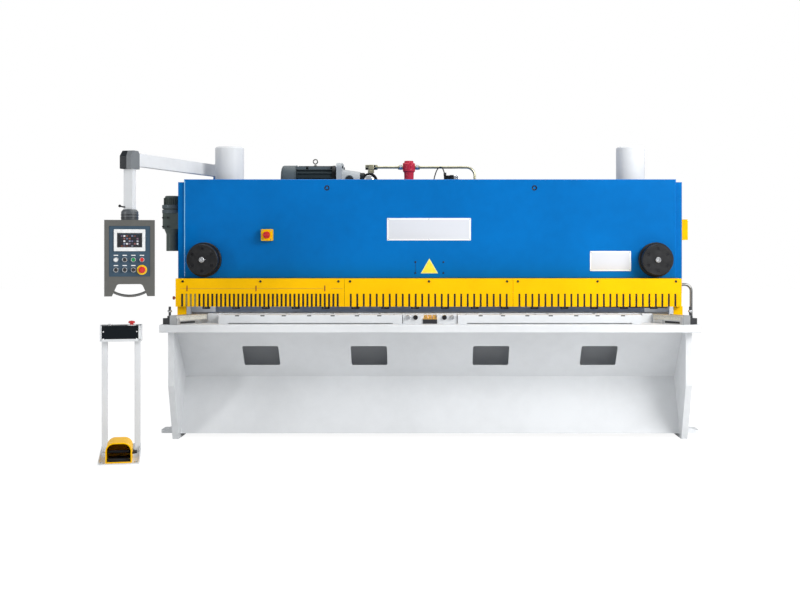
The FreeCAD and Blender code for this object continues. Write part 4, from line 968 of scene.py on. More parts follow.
@dataclass
class Guard:
    """What is on the yellow finger guard: its screws and knob, the seam, and the strips behind the comb, the
    dark one painted shade.
    """

    finishes: Finishes
    screw_x: tuple[float, ...] = (-1.637, -1.122, -0.606, -0.529, -0.007, 0.510, 0.582, 1.109, 1.628)
    screw_drop: float = 0.019
    screw_r: float = 0.0056
    knob_z: float = 0.9235
    comb_z: float = 0.912
    comb_height: float = 0.088
    backing_gap: float = 0.0072
    shade_strip_x: tuple[tuple[float, float], ...] = ((-1.678, -1.626), (-1.541, 1.659))
    olive_x: tuple[float, float] = (-1.6255, -1.5415)
    seam_z: float = 0.9869
    seam_x: tuple[tuple[float, float], ...] = ((-1.655, -0.706), (-0.655, -0.578))
    mark_x: tuple[float, ...] = (-1.608, -1.151, -0.696)

    def build(self) -> None:
        """Makes the screws with their washers, the knob at the left end, the strips and the seam."""
        low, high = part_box("guard_middle")
        places = np.array([(x, low.y, high.z - self.screw_drop) for x in self.screw_x])
        made = Surface().copies(Screw.WASHER.head(self.screw_r * 1.45, Axis.FRONT), places)
        made.copies(Screw.CAP.head(self.screw_r, Axis.FRONT), places - (0, 0.0014, 0))
        made.piece("guard_screws", self.finishes.oxide_and_painted_shade, "dark_plastic")
        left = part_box("guard_left")[0]
        knob = [(0.005, -0.001), (0.005, 0.007), (0.011, 0.009), (0.0125, 0.015), (0.010, 0.021),
                (0.0, 0.023)]
        Surface().grid(turned(knob, Axis.LEFT, 28, (left.x, left.y + 0.015, self.knob_z))).piece(
            "guard_knob", self.finishes.knob_red, "red_plastic")
        self.backing()
        self.seam()

    def strip(self, x0: float, x1: float) -> np.ndarray:
        """A flat strip behind the comb from x0 to x1."""
        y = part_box("guard_middle")[0].y + self.backing_gap
        return slab(x1 - x0, self.comb_height, 0.0020, 0.002, 0.0003, at=((x0 + x1) / 2, y, self.comb_z))

    def backing(self) -> None:
        """The dark strip behind the comb, painted shade that hides the lit parts behind the slots, with an
        olive part behind the second to fourth slots.
        """
        # Painted shade: a black strip that stands for the deep shade behind the slots.
        black = Surface()
        for x0, x1 in self.shade_strip_x:
            black.grid(self.strip(x0, x1))
        black.piece("guard_painted_shade_strip", self.finishes.rubber_and_painted_shade, "dark_plastic")
        Surface().grid(self.strip(*self.olive_x)).piece(
            "guard_backing_olive", self.finishes.olive, "zinc_steel")

    def seam(self) -> None:
        """The thin line along the left section, and the three brown marks that cross it."""
        y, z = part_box("guard_left")[0].y, self.seam_z
        line = Surface()
        for x0, x1 in self.seam_x:
            line.grid(slab(x1 - x0, 0.0040, 0.0005, 0.001, 0.0002, at=((x0 + x1) / 2, y, z)))
        line.piece("guard_seam", self.finishes.seam, "yellow_paint")
        places = np.array([(x, y - 0.0003, z) for x in self.mark_x])
        Surface().copies(slab(0.0060, 0.038, 0.0016, 0.002, 0.0006), places).piece(
            "guard_marks", self.finishes.knob_red, "red_plastic")


@dataclass
class Table:
    """Screws of the bench, its seat and the junction, and what is on the two squaring arms.

    What is on an arm is drawn along the left one, from its front end and
    along +Y, and then turned, moved and mirrored by on_arms. The clamp's
    screw is given by its place across and along the arm, and its nut's rise.
    """

    finishes: Finishes
    bench_x: tuple[float, ...] = (0.235, 0.46, 0.69, 0.92, 1.15, 1.33)
    seat_x: tuple[float, ...] = (0.09, 0.30, 0.60, 0.90, 1.20, 1.42)
    joint_x: tuple[float, ...] = (0.094, 0.143)
    joint_z: float = 0.803
    bench_notch_shades: tuple[float, ...] = (0.329, 0.474, 0.632, 0.784, 0.949, 1.087, 1.252)
    arm_at: tuple[float, float] = (-1.645, -1.012)
    arm_turn: float = -34.0
    arm_height: float = 0.060
    arm_side: float = 0.030
    tick_step: float = 0.010
    tick_from: float = 0.075
    tick_count: int = 20
    tick_dx: float = 0.019
    scale_from: float = 0.016
    scale_end: float = 0.280
    scale_count: int = 26
    scale_top: float = 0.055
    clamp_screw: tuple[float, float, float] = (-0.061, 0.031, 0.078)

    def screws(self) -> None:
        """Flush screws in the bench and the seat, and dark slabs along the bench's front edge, painted as the
        shade of notches in it.
        """
        low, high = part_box("bench_plates")
        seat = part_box("blade_seat")[1]
        bench = [(side * x, y, high.z) for side in (-1, 1) for x in self.bench_x
                 for y in (low.y + 0.024, high.y - 0.024)]
        Surface().copies(Screw.FLUSH.head(0.0075, Axis.UP), np.array(bench)).piece(
            "bench_screws", self.finishes.oxide_and_painted_shade, "dark_plastic")
        row = [(side * x, seat.y - 0.060, seat.z) for side in (-1, 1) for x in self.seat_x]
        Surface().copies(Screw.FLUSH.head(0.010, Axis.UP), np.array(row)).piece(
            "seat_screws", self.finishes.oxide_and_painted_shade, "dark_plastic")
        # Painted shade: dark slabs for the shade in the notches along the bench's front edge.
        edge = [(side * x, low.y + 0.0004, high.z - 0.0048) for side in (-1, 1) for x in self.bench_notch_shades]
        Surface().copies(slab(0.027, 0.0065, 0.0012, 0.002, 0.0006), np.array(edge)).piece(
            "bench_notch_shades", self.finishes.oxide_and_painted_shade, "dark_plastic")

    def joint(self) -> None:
        """The two large screws in the front of each joint block, one dark and one zinc."""
        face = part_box("bench_plates")[0].y + 0.012
        looks = (("joint_screws_dark", self.finishes.oxide_and_painted_shade, "dark_plastic"),
                 ("joint_screws_zinc", self.finishes.bright_zinc, "zinc_steel"))
        for x, (name, finish, slot) in zip(self.joint_x, looks):
            places = np.array([(side * x, face, self.joint_z) for side in (-1, 1)])
            Surface().copies(Screw.WASHER.head(0.0155, Axis.FRONT), places).copies(
                Screw.CAP.head(0.0130, Axis.FRONT), places - (0, 0.0022, 0)).piece(name, finish, slot)

    def ticks(self) -> None:
        """Plain ticks along the top of each squaring arm, every fifth one longer."""
        made = Surface()
        for k in range(self.tick_count):
            length = 0.015 if k % 5 == 0 else 0.009
            made.grid(slab(length, 0.0009, 0.0003, 0.0002, 0.0001, Axis.UP,
                           (self.tick_dx, self.tick_from + k * self.tick_step, self.arm_height), 2))
        self.on_arms(made, "arm_ticks", self.finishes.oxide_and_painted_shade, "dark_plastic")

    def on_arms(self, surface: Surface, name: str, material: bpy.types.Material, slot: str) -> None:
        """Sets pieces drawn along the left arm in place, with their mirror image on the right."""
        at = np.array([*self.arm_at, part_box("table_plate")[1].z])
        left = [points @ spin_about_z(self.arm_turn) + at for points in surface.points]
        surface.points = left + [points * (-1, 1, 1) for points in left]
        surface.faces += [[corner + surface.count for corner in face[::-1]] for face in surface.faces]
        surface.count *= 2
        surface.piece(name, material, slot)

    def scales(self) -> None:
        """A pale scale with plain ticks on each arm's front side, over a dark strip painted as the shade in
        the gap under the bar, and a bracket.
        """
        side, end = self.arm_side, self.scale_end
        scale = slab(end - 0.014, 0.030, 0.0012, 0.003, 0.0004, Axis.RIGHT, (side, end / 2, 0.0415))
        self.on_arms(Surface().grid(scale), "arm_scales", self.finishes.scale, "zinc_steel")
        ticks = Surface()
        for k in range(self.scale_count):
            height = 0.018 if k % 5 == 0 else 0.011
            at = (side + 0.0011, self.scale_from + k * self.tick_step, self.scale_top - height / 2)
            ticks.grid(slab(0.0014, height, 0.0004, 0.0003, 0.0001, Axis.RIGHT, at, 2))
        self.on_arms(ticks, "scale_ticks", self.finishes.oxide_and_painted_shade, "dark_plastic")
        # Painted shade: a dark strip for the shadowed gap between the bar and the table.
        gap = slab(0.132, 0.013, 0.0010, 0.002, 0.0003, Axis.RIGHT, (side, 0.100, 0.0125))
        self.on_arms(Surface().grid(gap), "arm_gap_shades", self.finishes.rubber_and_painted_shade, "dark_plastic")
        bracket = Surface().grid(slab(0.078, 0.021, 0.0060, 0.004, 0.0015, Axis.RIGHT, (side, 0.222, 0.0130)))
        bracket.grid(slab(0.020, 0.040, 0.0060, 0.004, 0.0015, Axis.RIGHT, (side, 0.014, 0.0220)))
        self.on_arms(bracket, "arm_brackets", self.finishes.bar_steel, "zinc_steel")

    def clamps(self) -> None:
        """A six-sided nut on each clamp's upright screw."""
        nut = [(0.0, 0.0), (0.013, 0.0), (0.0145, 0.002), (0.0145, 0.011), (0.013, 0.013), (0.0, 0.013)]
        across, along, rise = self.clamp_screw
        x, y, _ = np.array([across, along, 0.0]) @ spin_about_z(self.arm_turn) + np.array([*self.arm_at, 0.0])
        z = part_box("arm_clamps")[0].z + rise
        made = Surface()
        for side in (-1, 1):
            made.grid(turned(nut, Axis.UP, 6, (side * x, y, z)))
        made.piece("clamp_nuts", self.finishes.bright_zinc, "zinc_steel")

    def build(self) -> None:
        """Makes everything on the table."""
        self.screws()
        self.joint()
        self.ticks()
        self.scales()
        self.clamps()


@dataclass
class PowerUnit:
    """The small parts of the pump set on the tank's lid."""

    finishes: Finishes
    motor_y: float = -0.060
    motor_z: float = 1.738
    motor_r: float = 0.105
    wire_r: float = 0.0018
    ledge_x: tuple[tuple[float, float], ...] = ((-0.951, -0.883), (-0.866, -0.708))
    eye_x: float = -0.821
    eye_r: float = 0.0155
    eye_wire_r: float = 0.0042
    flange_bolt: float = 0.092
    flange_thick: float = 0.039
    coupling_x: float = -0.573
    pump_x: float = -0.430
    cover_x: float = -0.434
    valve_width: float = 0.043
    nut_z: float = 1.760
    cable_r: float = 0.0040
    cable_xz: tuple[tuple[float, float], ...] = ((0.026, 1.872), (0.094, 1.868), (0.103, 1.783))
    gland_x: float = 0.0142
    plug_at: tuple[float, float] = (0.107, 1.7725)
    filter_x: float = -0.151
    pipe_z: float = 1.833
    tee_x: float = -0.421

    def cowl(self) -> None:
        """The fan cowl's grille: rings and spokes over its dark mouth."""
        wire, lift = self.wire_r, 0.0016
        at = np.array([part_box("pump_motor")[0].x, self.motor_y, self.motor_z])
        rings = Surface()
        round_wire = np.linspace(0, 2 * np.pi, 8, endpoint=False)
        for k in range(5):
            r = 0.020 + 0.015 * k
            section = [(r + wire * math.cos(a), lift + lift * math.sin(a)) for a in round_wire]
            rings.grid(turned(section + section[:1], Axis.LEFT, 40, at), caps=False)
        raised = at - (lift, 0, 0)
        for angle in range(0, 180, 45):
            reach = 0.084 * np.array([0, math.cos(math.radians(angle)), math.sin(math.radians(angle))])
            rings.grid(carried(np.array([raised - reach, raised + reach]), wire, 8))
        rings.piece("cowl_grille", self.finishes.cowl, "slate_paint")
        mouth = turned([(0.086, 0.0), (0.086, 0.0006), (0.0, 0.0006)], Axis.LEFT, 40, at)
        Surface().grid(mouth).piece("cowl_mouth", self.finishes.rubber_and_painted_shade, "dark_plastic")

    def cowl_skin(self) -> None:
        """The paler sheet cowl over the motor's left end, a turned skin with a rolled lip."""
        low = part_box("pump_motor")[0].x
        r = self.motor_r + 0.0025
        profile = [(0.088, -0.0008), (r - 0.016, -0.0008), (r - 0.004, 0.006), (r, 0.016), (r, 0.100),
                   (r + 0.0025, 0.102), (r + 0.0025, 0.106), (r - 0.002, 0.106), (r - 0.002, 0.017),
                   (r - 0.018, 0.0015), (0.088, 0.0015), (0.088, -0.0008)]
        Surface().grid(turned(profile, Axis.RIGHT, 64, (low, self.motor_y, self.motor_z)), caps=False).piece(
            "cowl_skin", self.finishes.cowl, "slate_paint", smooth=50)

    def motor_trim(self) -> None:
        """The paler ledge along the motor's top, its lifting eye and the black end shield.

        Point (i, j) of the eye lies at angle t_i round the eye and s_j round its wire.
        """
        top, x = self.motor_z + self.motor_r, self.eye_x
        ledge = Surface()
        for x0, x1 in self.ledge_x:
            ledge.grid(slab(x1 - x0, 0.023, 0.036, 0.004, 0.003, Axis.FRONT,
                            ((x0 + x1) / 2, self.motor_y - 0.036, self.motor_z + 0.0855)))
        ledge.piece("motor_ledge", self.finishes.cowl, "slate_paint")
        t = np.linspace(0, 2 * np.pi, 24, endpoint=False)
        s = np.linspace(0, 2 * np.pi, 10, endpoint=False)
        out = np.stack([np.cos(t), np.zeros_like(t), np.sin(t)], -1)
        eye = np.array([x, self.motor_y, top + 0.031]) + self.eye_r * out
        wire = np.cos(s)[None, :, None] * out[:, None] + np.sin(s)[None, :, None] * np.array([0, 1, 0])
        ring = eye[:, None] + self.eye_wire_r * wire
        foot = [(0.011, -0.010), (0.011, 0.003), (0.006, 0.006), (0.006, 0.015), (0.0, 0.015)]
        made = Surface().grid(np.concatenate([ring, ring[:1]]), caps=False)
        made.grid(turned(foot, Axis.UP, 20, (x, self.motor_y, top)))
        made.piece("lifting_eye", self.finishes.tube_steel, "zinc_steel")
        shield = [(0.1035, -0.034), (0.1060, -0.034), (0.1075, -0.031), (0.1075, -0.004), (0.1060, -0.001),
                  (0.1035, -0.001), (0.1035, -0.034)]
        end = (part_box("pump_motor")[1].x, self.motor_y, self.motor_z)
        Surface().grid(turned(shield, Axis.RIGHT, 64, end), caps=False).piece(
            "motor_shield", self.finishes.black, "slate_paint")

    def bolts(self) -> None:
        """The bolts of the tank's lid, and the bolts and nuts of the motor's square flange."""
        flange_x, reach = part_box("pump_motor")[1].x, self.flange_bolt
        corners = np.array([(flange_x, self.motor_y + a, self.motor_z + b)
                            for a in (-reach, reach) for b in (-reach, reach)])
        made = Surface().copies(Screw.HEX.head(0.0085, Axis.LEFT), corners)
        low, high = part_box("tank_lid")
        spread = np.linspace(low.x + 0.03, high.x - 0.03, 12)
        rows = np.array([(x, y, high.z) for x in spread for y in (low.y + 0.018, high.y - 0.018)])
        made.copies(Screw.WASHER.head(0.0125, Axis.UP), rows)
        made.copies(Screw.HEX.head(0.0085, Axis.UP), rows + (0, 0, 0.0016))
        made.piece("tank_bolts", self.finishes.bright_zinc, "zinc_steel")
        nuts = Surface().copies(Screw.HEX.head(0.0105, Axis.RIGHT), corners + (self.flange_thick, 0, 0))
        nuts.piece("flange_nuts", self.finishes.oxide_and_painted_shade, "dark_plastic")

    def coupling(self) -> None:
        """The dark window in the coupling housing, and the pump's end with its bright cover."""
        y, z = self.motor_y, self.motor_z
        window_at = (self.coupling_x, y - 0.0755, z + 0.004)
        rim = [(0.0255, -0.030), (0.0255, 0.0035), (0.0300, 0.0035), (0.0310, 0.0020), (0.0310, -0.030)]
        Surface().grid(turned(rim, Axis.FRONT, 40, window_at), caps=False).piece(
            "coupling_rim", self.finishes.cowl, "slate_paint")
        window = [(0.0255, 0.0), (0.0255, 0.0010), (0.0, 0.0010)]
        Surface().grid(turned(window, Axis.FRONT, 40, window_at)).piece(
            "coupling_window", self.finishes.rubber_and_painted_shade, "dark_plastic")
        body = [(0.0, -0.052), (0.050, -0.052), (0.054, -0.046), (0.054, -0.018), (0.050, -0.014),
                (0.050, 0.014), (0.054, 0.018), (0.054, 0.046), (0.049, 0.052), (0.0, 0.052)]
        Surface().grid(turned(body, Axis.FRONT, 48, (self.pump_x, y, z))).piece(
            "pump_end", self.finishes.black, "slate_paint")
        cover = [(0.036, -0.001), (0.036, 0.004), (0.031, 0.008), (0.014, 0.010), (0.0, 0.010)]
        Surface().grid(turned(cover, Axis.FRONT, 40, (self.cover_x, y - 0.052, z))).piece(
            "pump_cover", self.finishes.bright_zinc, "zinc_steel")
        places = ring_of(6, 0.0435, Axis.FRONT, (self.cover_x, y - 0.0515, z), 30)
        Surface().copies(Screw.CAP.head(0.0050, Axis.FRONT), places).piece(
            "pump_bolts", self.finishes.oxide_and_painted_shade, "dark_plastic")

    def valve(self) -> None:
        """The bright nut and screws of the valve block, and the cable that loops into its plug.

        The cable is the curve (1-t)³·a + 3t(1-t)²·b + 3t²(1-t)·c + t³·d, from
        its gland a in the lid to its plug d.
        """
        low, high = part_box("valve_block")
        body_x = high.x - self.valve_width
        nut = [(0.0185, 0.003), (0.0205, 0.003), (0.0240, 0.006), (0.0240, 0.022), (0.0205, 0.025),
               (0.0222, 0.028), (0.0222, 0.041), (0.0180, 0.0465), (0.0, 0.0465)]
        Surface().grid(turned(nut, Axis.RIGHT, 6, (body_x, self.motor_y, self.nut_z), 30)).piece(
            "valve_nut", self.finishes.bright_zinc, "zinc_steel")
        places = np.array([(x, low.y, low.z + h) for x in (low.x + 0.009, body_x - 0.009)
                           for h in (0.014, 0.149)])
        Surface().copies(Screw.CAP.head(0.006, Axis.FRONT), places).piece(
            "valve_screws", self.finishes.oxide_and_painted_shade, "dark_plastic")
        y = self.motor_y - 0.012
        t = np.linspace(0, 1, 40)[:, None]
        a = np.array([0.014, y, low.z + 0.002])
        b, c, d = (np.array([x, y, z]) for x, z in self.cable_xz)
        path = (1 - t) ** 3 * a + 3 * t * (1 - t) ** 2 * b + 3 * t ** 2 * (1 - t) * c + t ** 3 * d
        Surface().grid(carried(path, self.cable_r, 12)).piece(
            "valve_cable", self.finishes.rubber_and_painted_shade, "dark_plastic")
        gland = [(0.0, -0.002), (0.0110, -0.002), (0.0110, 0.012), (0.0085, 0.014), (0.0085, 0.024),
                 (0.0050, 0.029), (0.0, 0.029)]
        Surface().grid(turned(gland, Axis.UP, 24, (self.gland_x, y, low.z))).piece(
            "valve_cable_gland", self.finishes.plastic, "dark_plastic")
        x, z = self.plug_at
        Surface().grid(slab(0.020, 0.024, 0.022, 0.003, 0.002, Axis.UP, (x, y, z))).piece(
            "cable_plug", self.finishes.plastic, "dark_plastic")

    def filter_head(self) -> None:
        """The red filter's lobed cap: a tower with five flutes, and four round ears below it.

        Point (i, j) lies at height h_i and angle a_j, at radius r_i less the
        flute's depth 0.0035·max(0, cos 5a)², which the two end rings lack.
        """
        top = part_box("oil_filter")[1].z
        angle = np.arange(64) * 2 * np.pi / 64
        flute = 0.0035 * np.maximum(0.0, np.cos(5 * angle)) ** 2
        heights = np.array([-0.015, -0.014, -0.004, 0.0, 0.0])
        radii = np.array([0.0300, 0.0335, 0.0335, 0.030, 0.0])
        r = radii[:, None] - np.where(np.arange(5)[:, None] % 4 == 0, 0.0, flute[None])
        grid = np.stack([self.filter_x + r * np.cos(angle), self.motor_y + r * np.sin(angle),
                         np.broadcast_to(top + heights[:, None] + 0.002, r.shape)], -1)
        ear = [(0.0, 0.0), (0.0105, 0.0), (0.0115, 0.002), (0.0115, 0.034), (0.0095, 0.038), (0.0, 0.038)]
        places = ring_of(4, 0.0345, Axis.UP, (self.filter_x, self.motor_y, top - 0.052), 20)
        Surface().grid(grid).copies(turned(ear, Axis.UP, 24), places).piece(
            "filter_cap", self.finishes.red_paint, "red_paint")

    def pipe_nuts(self) -> None:
        """Six-sided union nuts on the pipes, and the blocky tee over the pump."""
        nut = [(0.0115, 0.0), (0.0175, 0.0), (0.0200, 0.002), (0.0200, 0.018), (0.0175, 0.020),
               (0.0115, 0.020)]
        y, z = self.motor_y, self.pipe_z
        steel, tee = Surface(), Surface()
        for axis, x in ((Axis.LEFT, -0.200), (Axis.RIGHT, -0.102)):
            steel.grid(turned(nut, axis, 6, (x, y, z)), caps=False)
        steel.piece("filter_nuts", self.finishes.bright_zinc, "zinc_steel")
        for axis, at in ((Axis.RIGHT, (-0.396, y, z)), (Axis.LEFT, (-0.443, y, z)),
                         (Axis.UP, (0.320, y, 1.640))):
            tee.grid(turned(nut, axis, 6, at), caps=False)
        tee.grid(slab(0.040, 0.037, 0.037, 0.004, 0.003, Axis.FRONT, (self.tee_x, y + 0.0185, z)))
        foot = [(0.0, -0.042), (0.0205, -0.042), (0.0225, -0.040), (0.0225, -0.022), (0.0205, -0.020),
                (0.0, -0.020)]
        tee.grid(turned(foot, Axis.UP, 6, (self.tee_x - 0.002, y, z)))
        tee.piece("pump_tee", self.finishes.zinc, "zinc_steel")

    def build(self) -> None:
        """Makes everything on the lid."""
        self.cowl()
        self.cowl_skin()
        self.motor_trim()
        self.bolts()
        self.coupling()
        self.valve()
        self.filter_head()
        self.pipe_nuts()


@dataclass
class Cylinders:
    """The cap and the foot collar of each main cylinder."""

    finishes: Finishes
    centre: tuple[float, float] = (1.380, -0.410)
    radius: float = 0.098
    collar: float = 0.024

    def build(self) -> None:
        """A low cap on each cylinder, and a bolted collar at its foot."""
        low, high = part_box("main_cylinder_right")
        inner, outer, lip = self.radius - 0.001, self.radius + self.collar, self.radius - 0.008
        cap = [(lip, -0.001), (lip, 0.0012), (lip - 0.003, 0.003), (0.0, 0.003)]
        collar = [(inner, 0.0), (outer, 0.0), (outer, 0.022), (outer - 0.004, 0.026), (inner, 0.028),
                  (inner, 0.0)]
        caps, collars, bolts = Surface(), Surface(), Surface()
        for side in (-1, 1):
            x, y = side * self.centre[0], self.centre[1]
            caps.grid(turned(cap, Axis.UP, 64, (x, y, high.z)))
            collars.grid(turned(collar, Axis.UP, 64, (x, y, low.z)), caps=False)
            places = ring_of(8, self.radius + 0.011, Axis.UP, (x, y, low.z + 0.025))
            bolts.copies(Screw.CAP.head(0.0085, Axis.UP), places)
        caps.piece("cylinder_caps", self.finishes.white, "white_paint")
        collars.piece("cylinder_collars", self.finishes.white, "white_paint")
        bolts.piece("cylinder_bolts", self.finishes.oxide_and_painted_shade, "dark_plastic")


@dataclass
class SideBoxes:
    """What is on the two boxes outside the frames: the terminal box and the blade-gap drive.

    The drive's bands and screws lie at shares of its height, from its top down.
    """

    finishes: Finishes
    lid_thick: float = 0.002
    screw_inset: float = 0.012
    drive_dx: float = 0.064
    fin_r: tuple[float, float] = (0.048, 0.0575)
    fin_half: float = 0.0016
    fin_drop: tuple[float, float] = (0.062, 0.014)
    band_shares: tuple[float, float] = (0.165, 0.250)
    band_share: float = 0.068
    screw_dx: tuple[float, float] = (0.014, 0.046)
    screw_shares: tuple[float, float] = (0.40, 0.56)

    def terminal_box(self) -> None:
        """The lid on the terminal box and its four screws."""
        low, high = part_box("terminal_box")
        inset = self.screw_inset
        lid = slab(high.y - low.y - 0.008, high.z - low.z - 0.008, self.lid_thick, 0.005, 0.001, Axis.RIGHT,
                   (high.x, (low.y + high.y) / 2, (low.z + high.z) / 2))
        Surface().grid(lid).piece("terminal_lid", self.finishes.yellow, "yellow_paint")
        places = np.array([(high.x + self.lid_thick, y, z) for y in (low.y + inset, high.y - inset)
                           for z in (low.z + inset, high.z - inset)])
        Surface().copies(Screw.CAP.head(0.0035, Axis.RIGHT), places).piece(
            "terminal_screws", self.finishes.bright_zinc, "zinc_steel")

    def gap_drive(self) -> None:
        """The fins around the drive's cap, two turned bands and the screws in its front."""
        low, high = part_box("gap_drive")
        x, y, tall = low.x + self.drive_dx, (low.y + high.y) / 2, high.z - low.z
        (root, tip), half = self.fin_r, self.fin_half
        fins = Surface()
        for angle in range(0, 360, 15):
            a = math.radians(angle)
            out = np.array([math.cos(a), math.sin(a), 0])
            side = np.array([-math.sin(a), math.cos(a), 0]) * half
            section = np.array([out * root - side, out * tip - side * 0.6,
                                out * tip + side * 0.6, out * root + side])
            fins.grid(np.stack([section + (x, y, high.z - drop) for drop in self.fin_drop]))
        fins.piece("drive_fins", self.finishes.drive, "slate_paint")
        thick = tall * self.band_share
        band = [(0.050, 0.0), (0.0655, 0.0), (0.0680, 0.003), (0.0680, thick - 0.003), (0.0655, thick),
                (0.050, thick)]
        bands = Surface()
        for share in self.band_shares:
            foot = high.z - tall * (share + self.band_share)
            bands.grid(turned(band, Axis.UP, 48, (x, y, foot)), caps=False)
        bands.piece("drive_bands", self.finishes.cowl, "slate_paint")
        places = np.array([(low.x + dx, low.y, high.z - tall * share)
                           for dx in self.screw_dx for share in self.screw_shares])
        Surface().copies(Screw.CAP.head(0.006, Axis.FRONT), places).piece(
            "drive_screws", self.finishes.oxide_and_painted_shade, "dark_plastic")

    def build(self) -> None:
        """Makes what is on both boxes."""
        self.terminal_box()
        self.gap_drive()


@dataclass
class ArmTrim:
    """The cap, rings and clamp lever of the swinging arm."""

    finishes: Finishes
    body: str = "swing_arm"
    pivot: tuple[float, float] = (-1.500, -0.110)
    hang: tuple[float, float] = HANG
    ring_rises: tuple[float, float] = (0.012, 0.030)

    def build(self) -> None:
        """A cap on the pivot, rings on the hub, and the hub's clamp lever."""
        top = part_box("swing_arm")[1].z
        cap = [(0.046, -0.002), (0.046, 0.003), (0.040, 0.009), (0.0, 0.011)]
        Surface().grid(turned(cap, Axis.UP, 40, (*self.pivot, top))).piece(
            "pivot_cap", self.finishes.plastic, "dark_plastic", self.body)
        low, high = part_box("swivel_hub")
        x, y = self.hang
        ring = [(0.0515, -0.003), (0.0545, -0.002), (0.0545, 0.002), (0.0515, 0.003), (0.0515, -0.003)]
        rings = Surface()
        for rise in self.ring_rises:
            rings.grid(turned(ring, Axis.UP, 48, (x, y, low.z + rise)), caps=False)
        rings.piece("hub_rings", self.finishes.plastic, "dark_plastic", self.body)
        lever = np.array([(x - 0.020, y - 0.012, high.z + 0.014), (x - 0.040, y - 0.018, high.z + 0.016),
                          (x - 0.056, y - 0.022, high.z + 0.021)])
        ball = [(0.0, -0.009), (0.005, -0.0075), (0.0085, -0.003), (0.009, 0.002), (0.006, 0.007),
                (0.0, 0.009)]
        Surface().grid(carried(lever, 0.0045, 12)).grid(turned(ball, Axis.UP, 20, tuple(lever[-1]))).piece(
            "hub_lever", self.finishes.oxide_and_painted_shade, "dark_plastic", self.body)


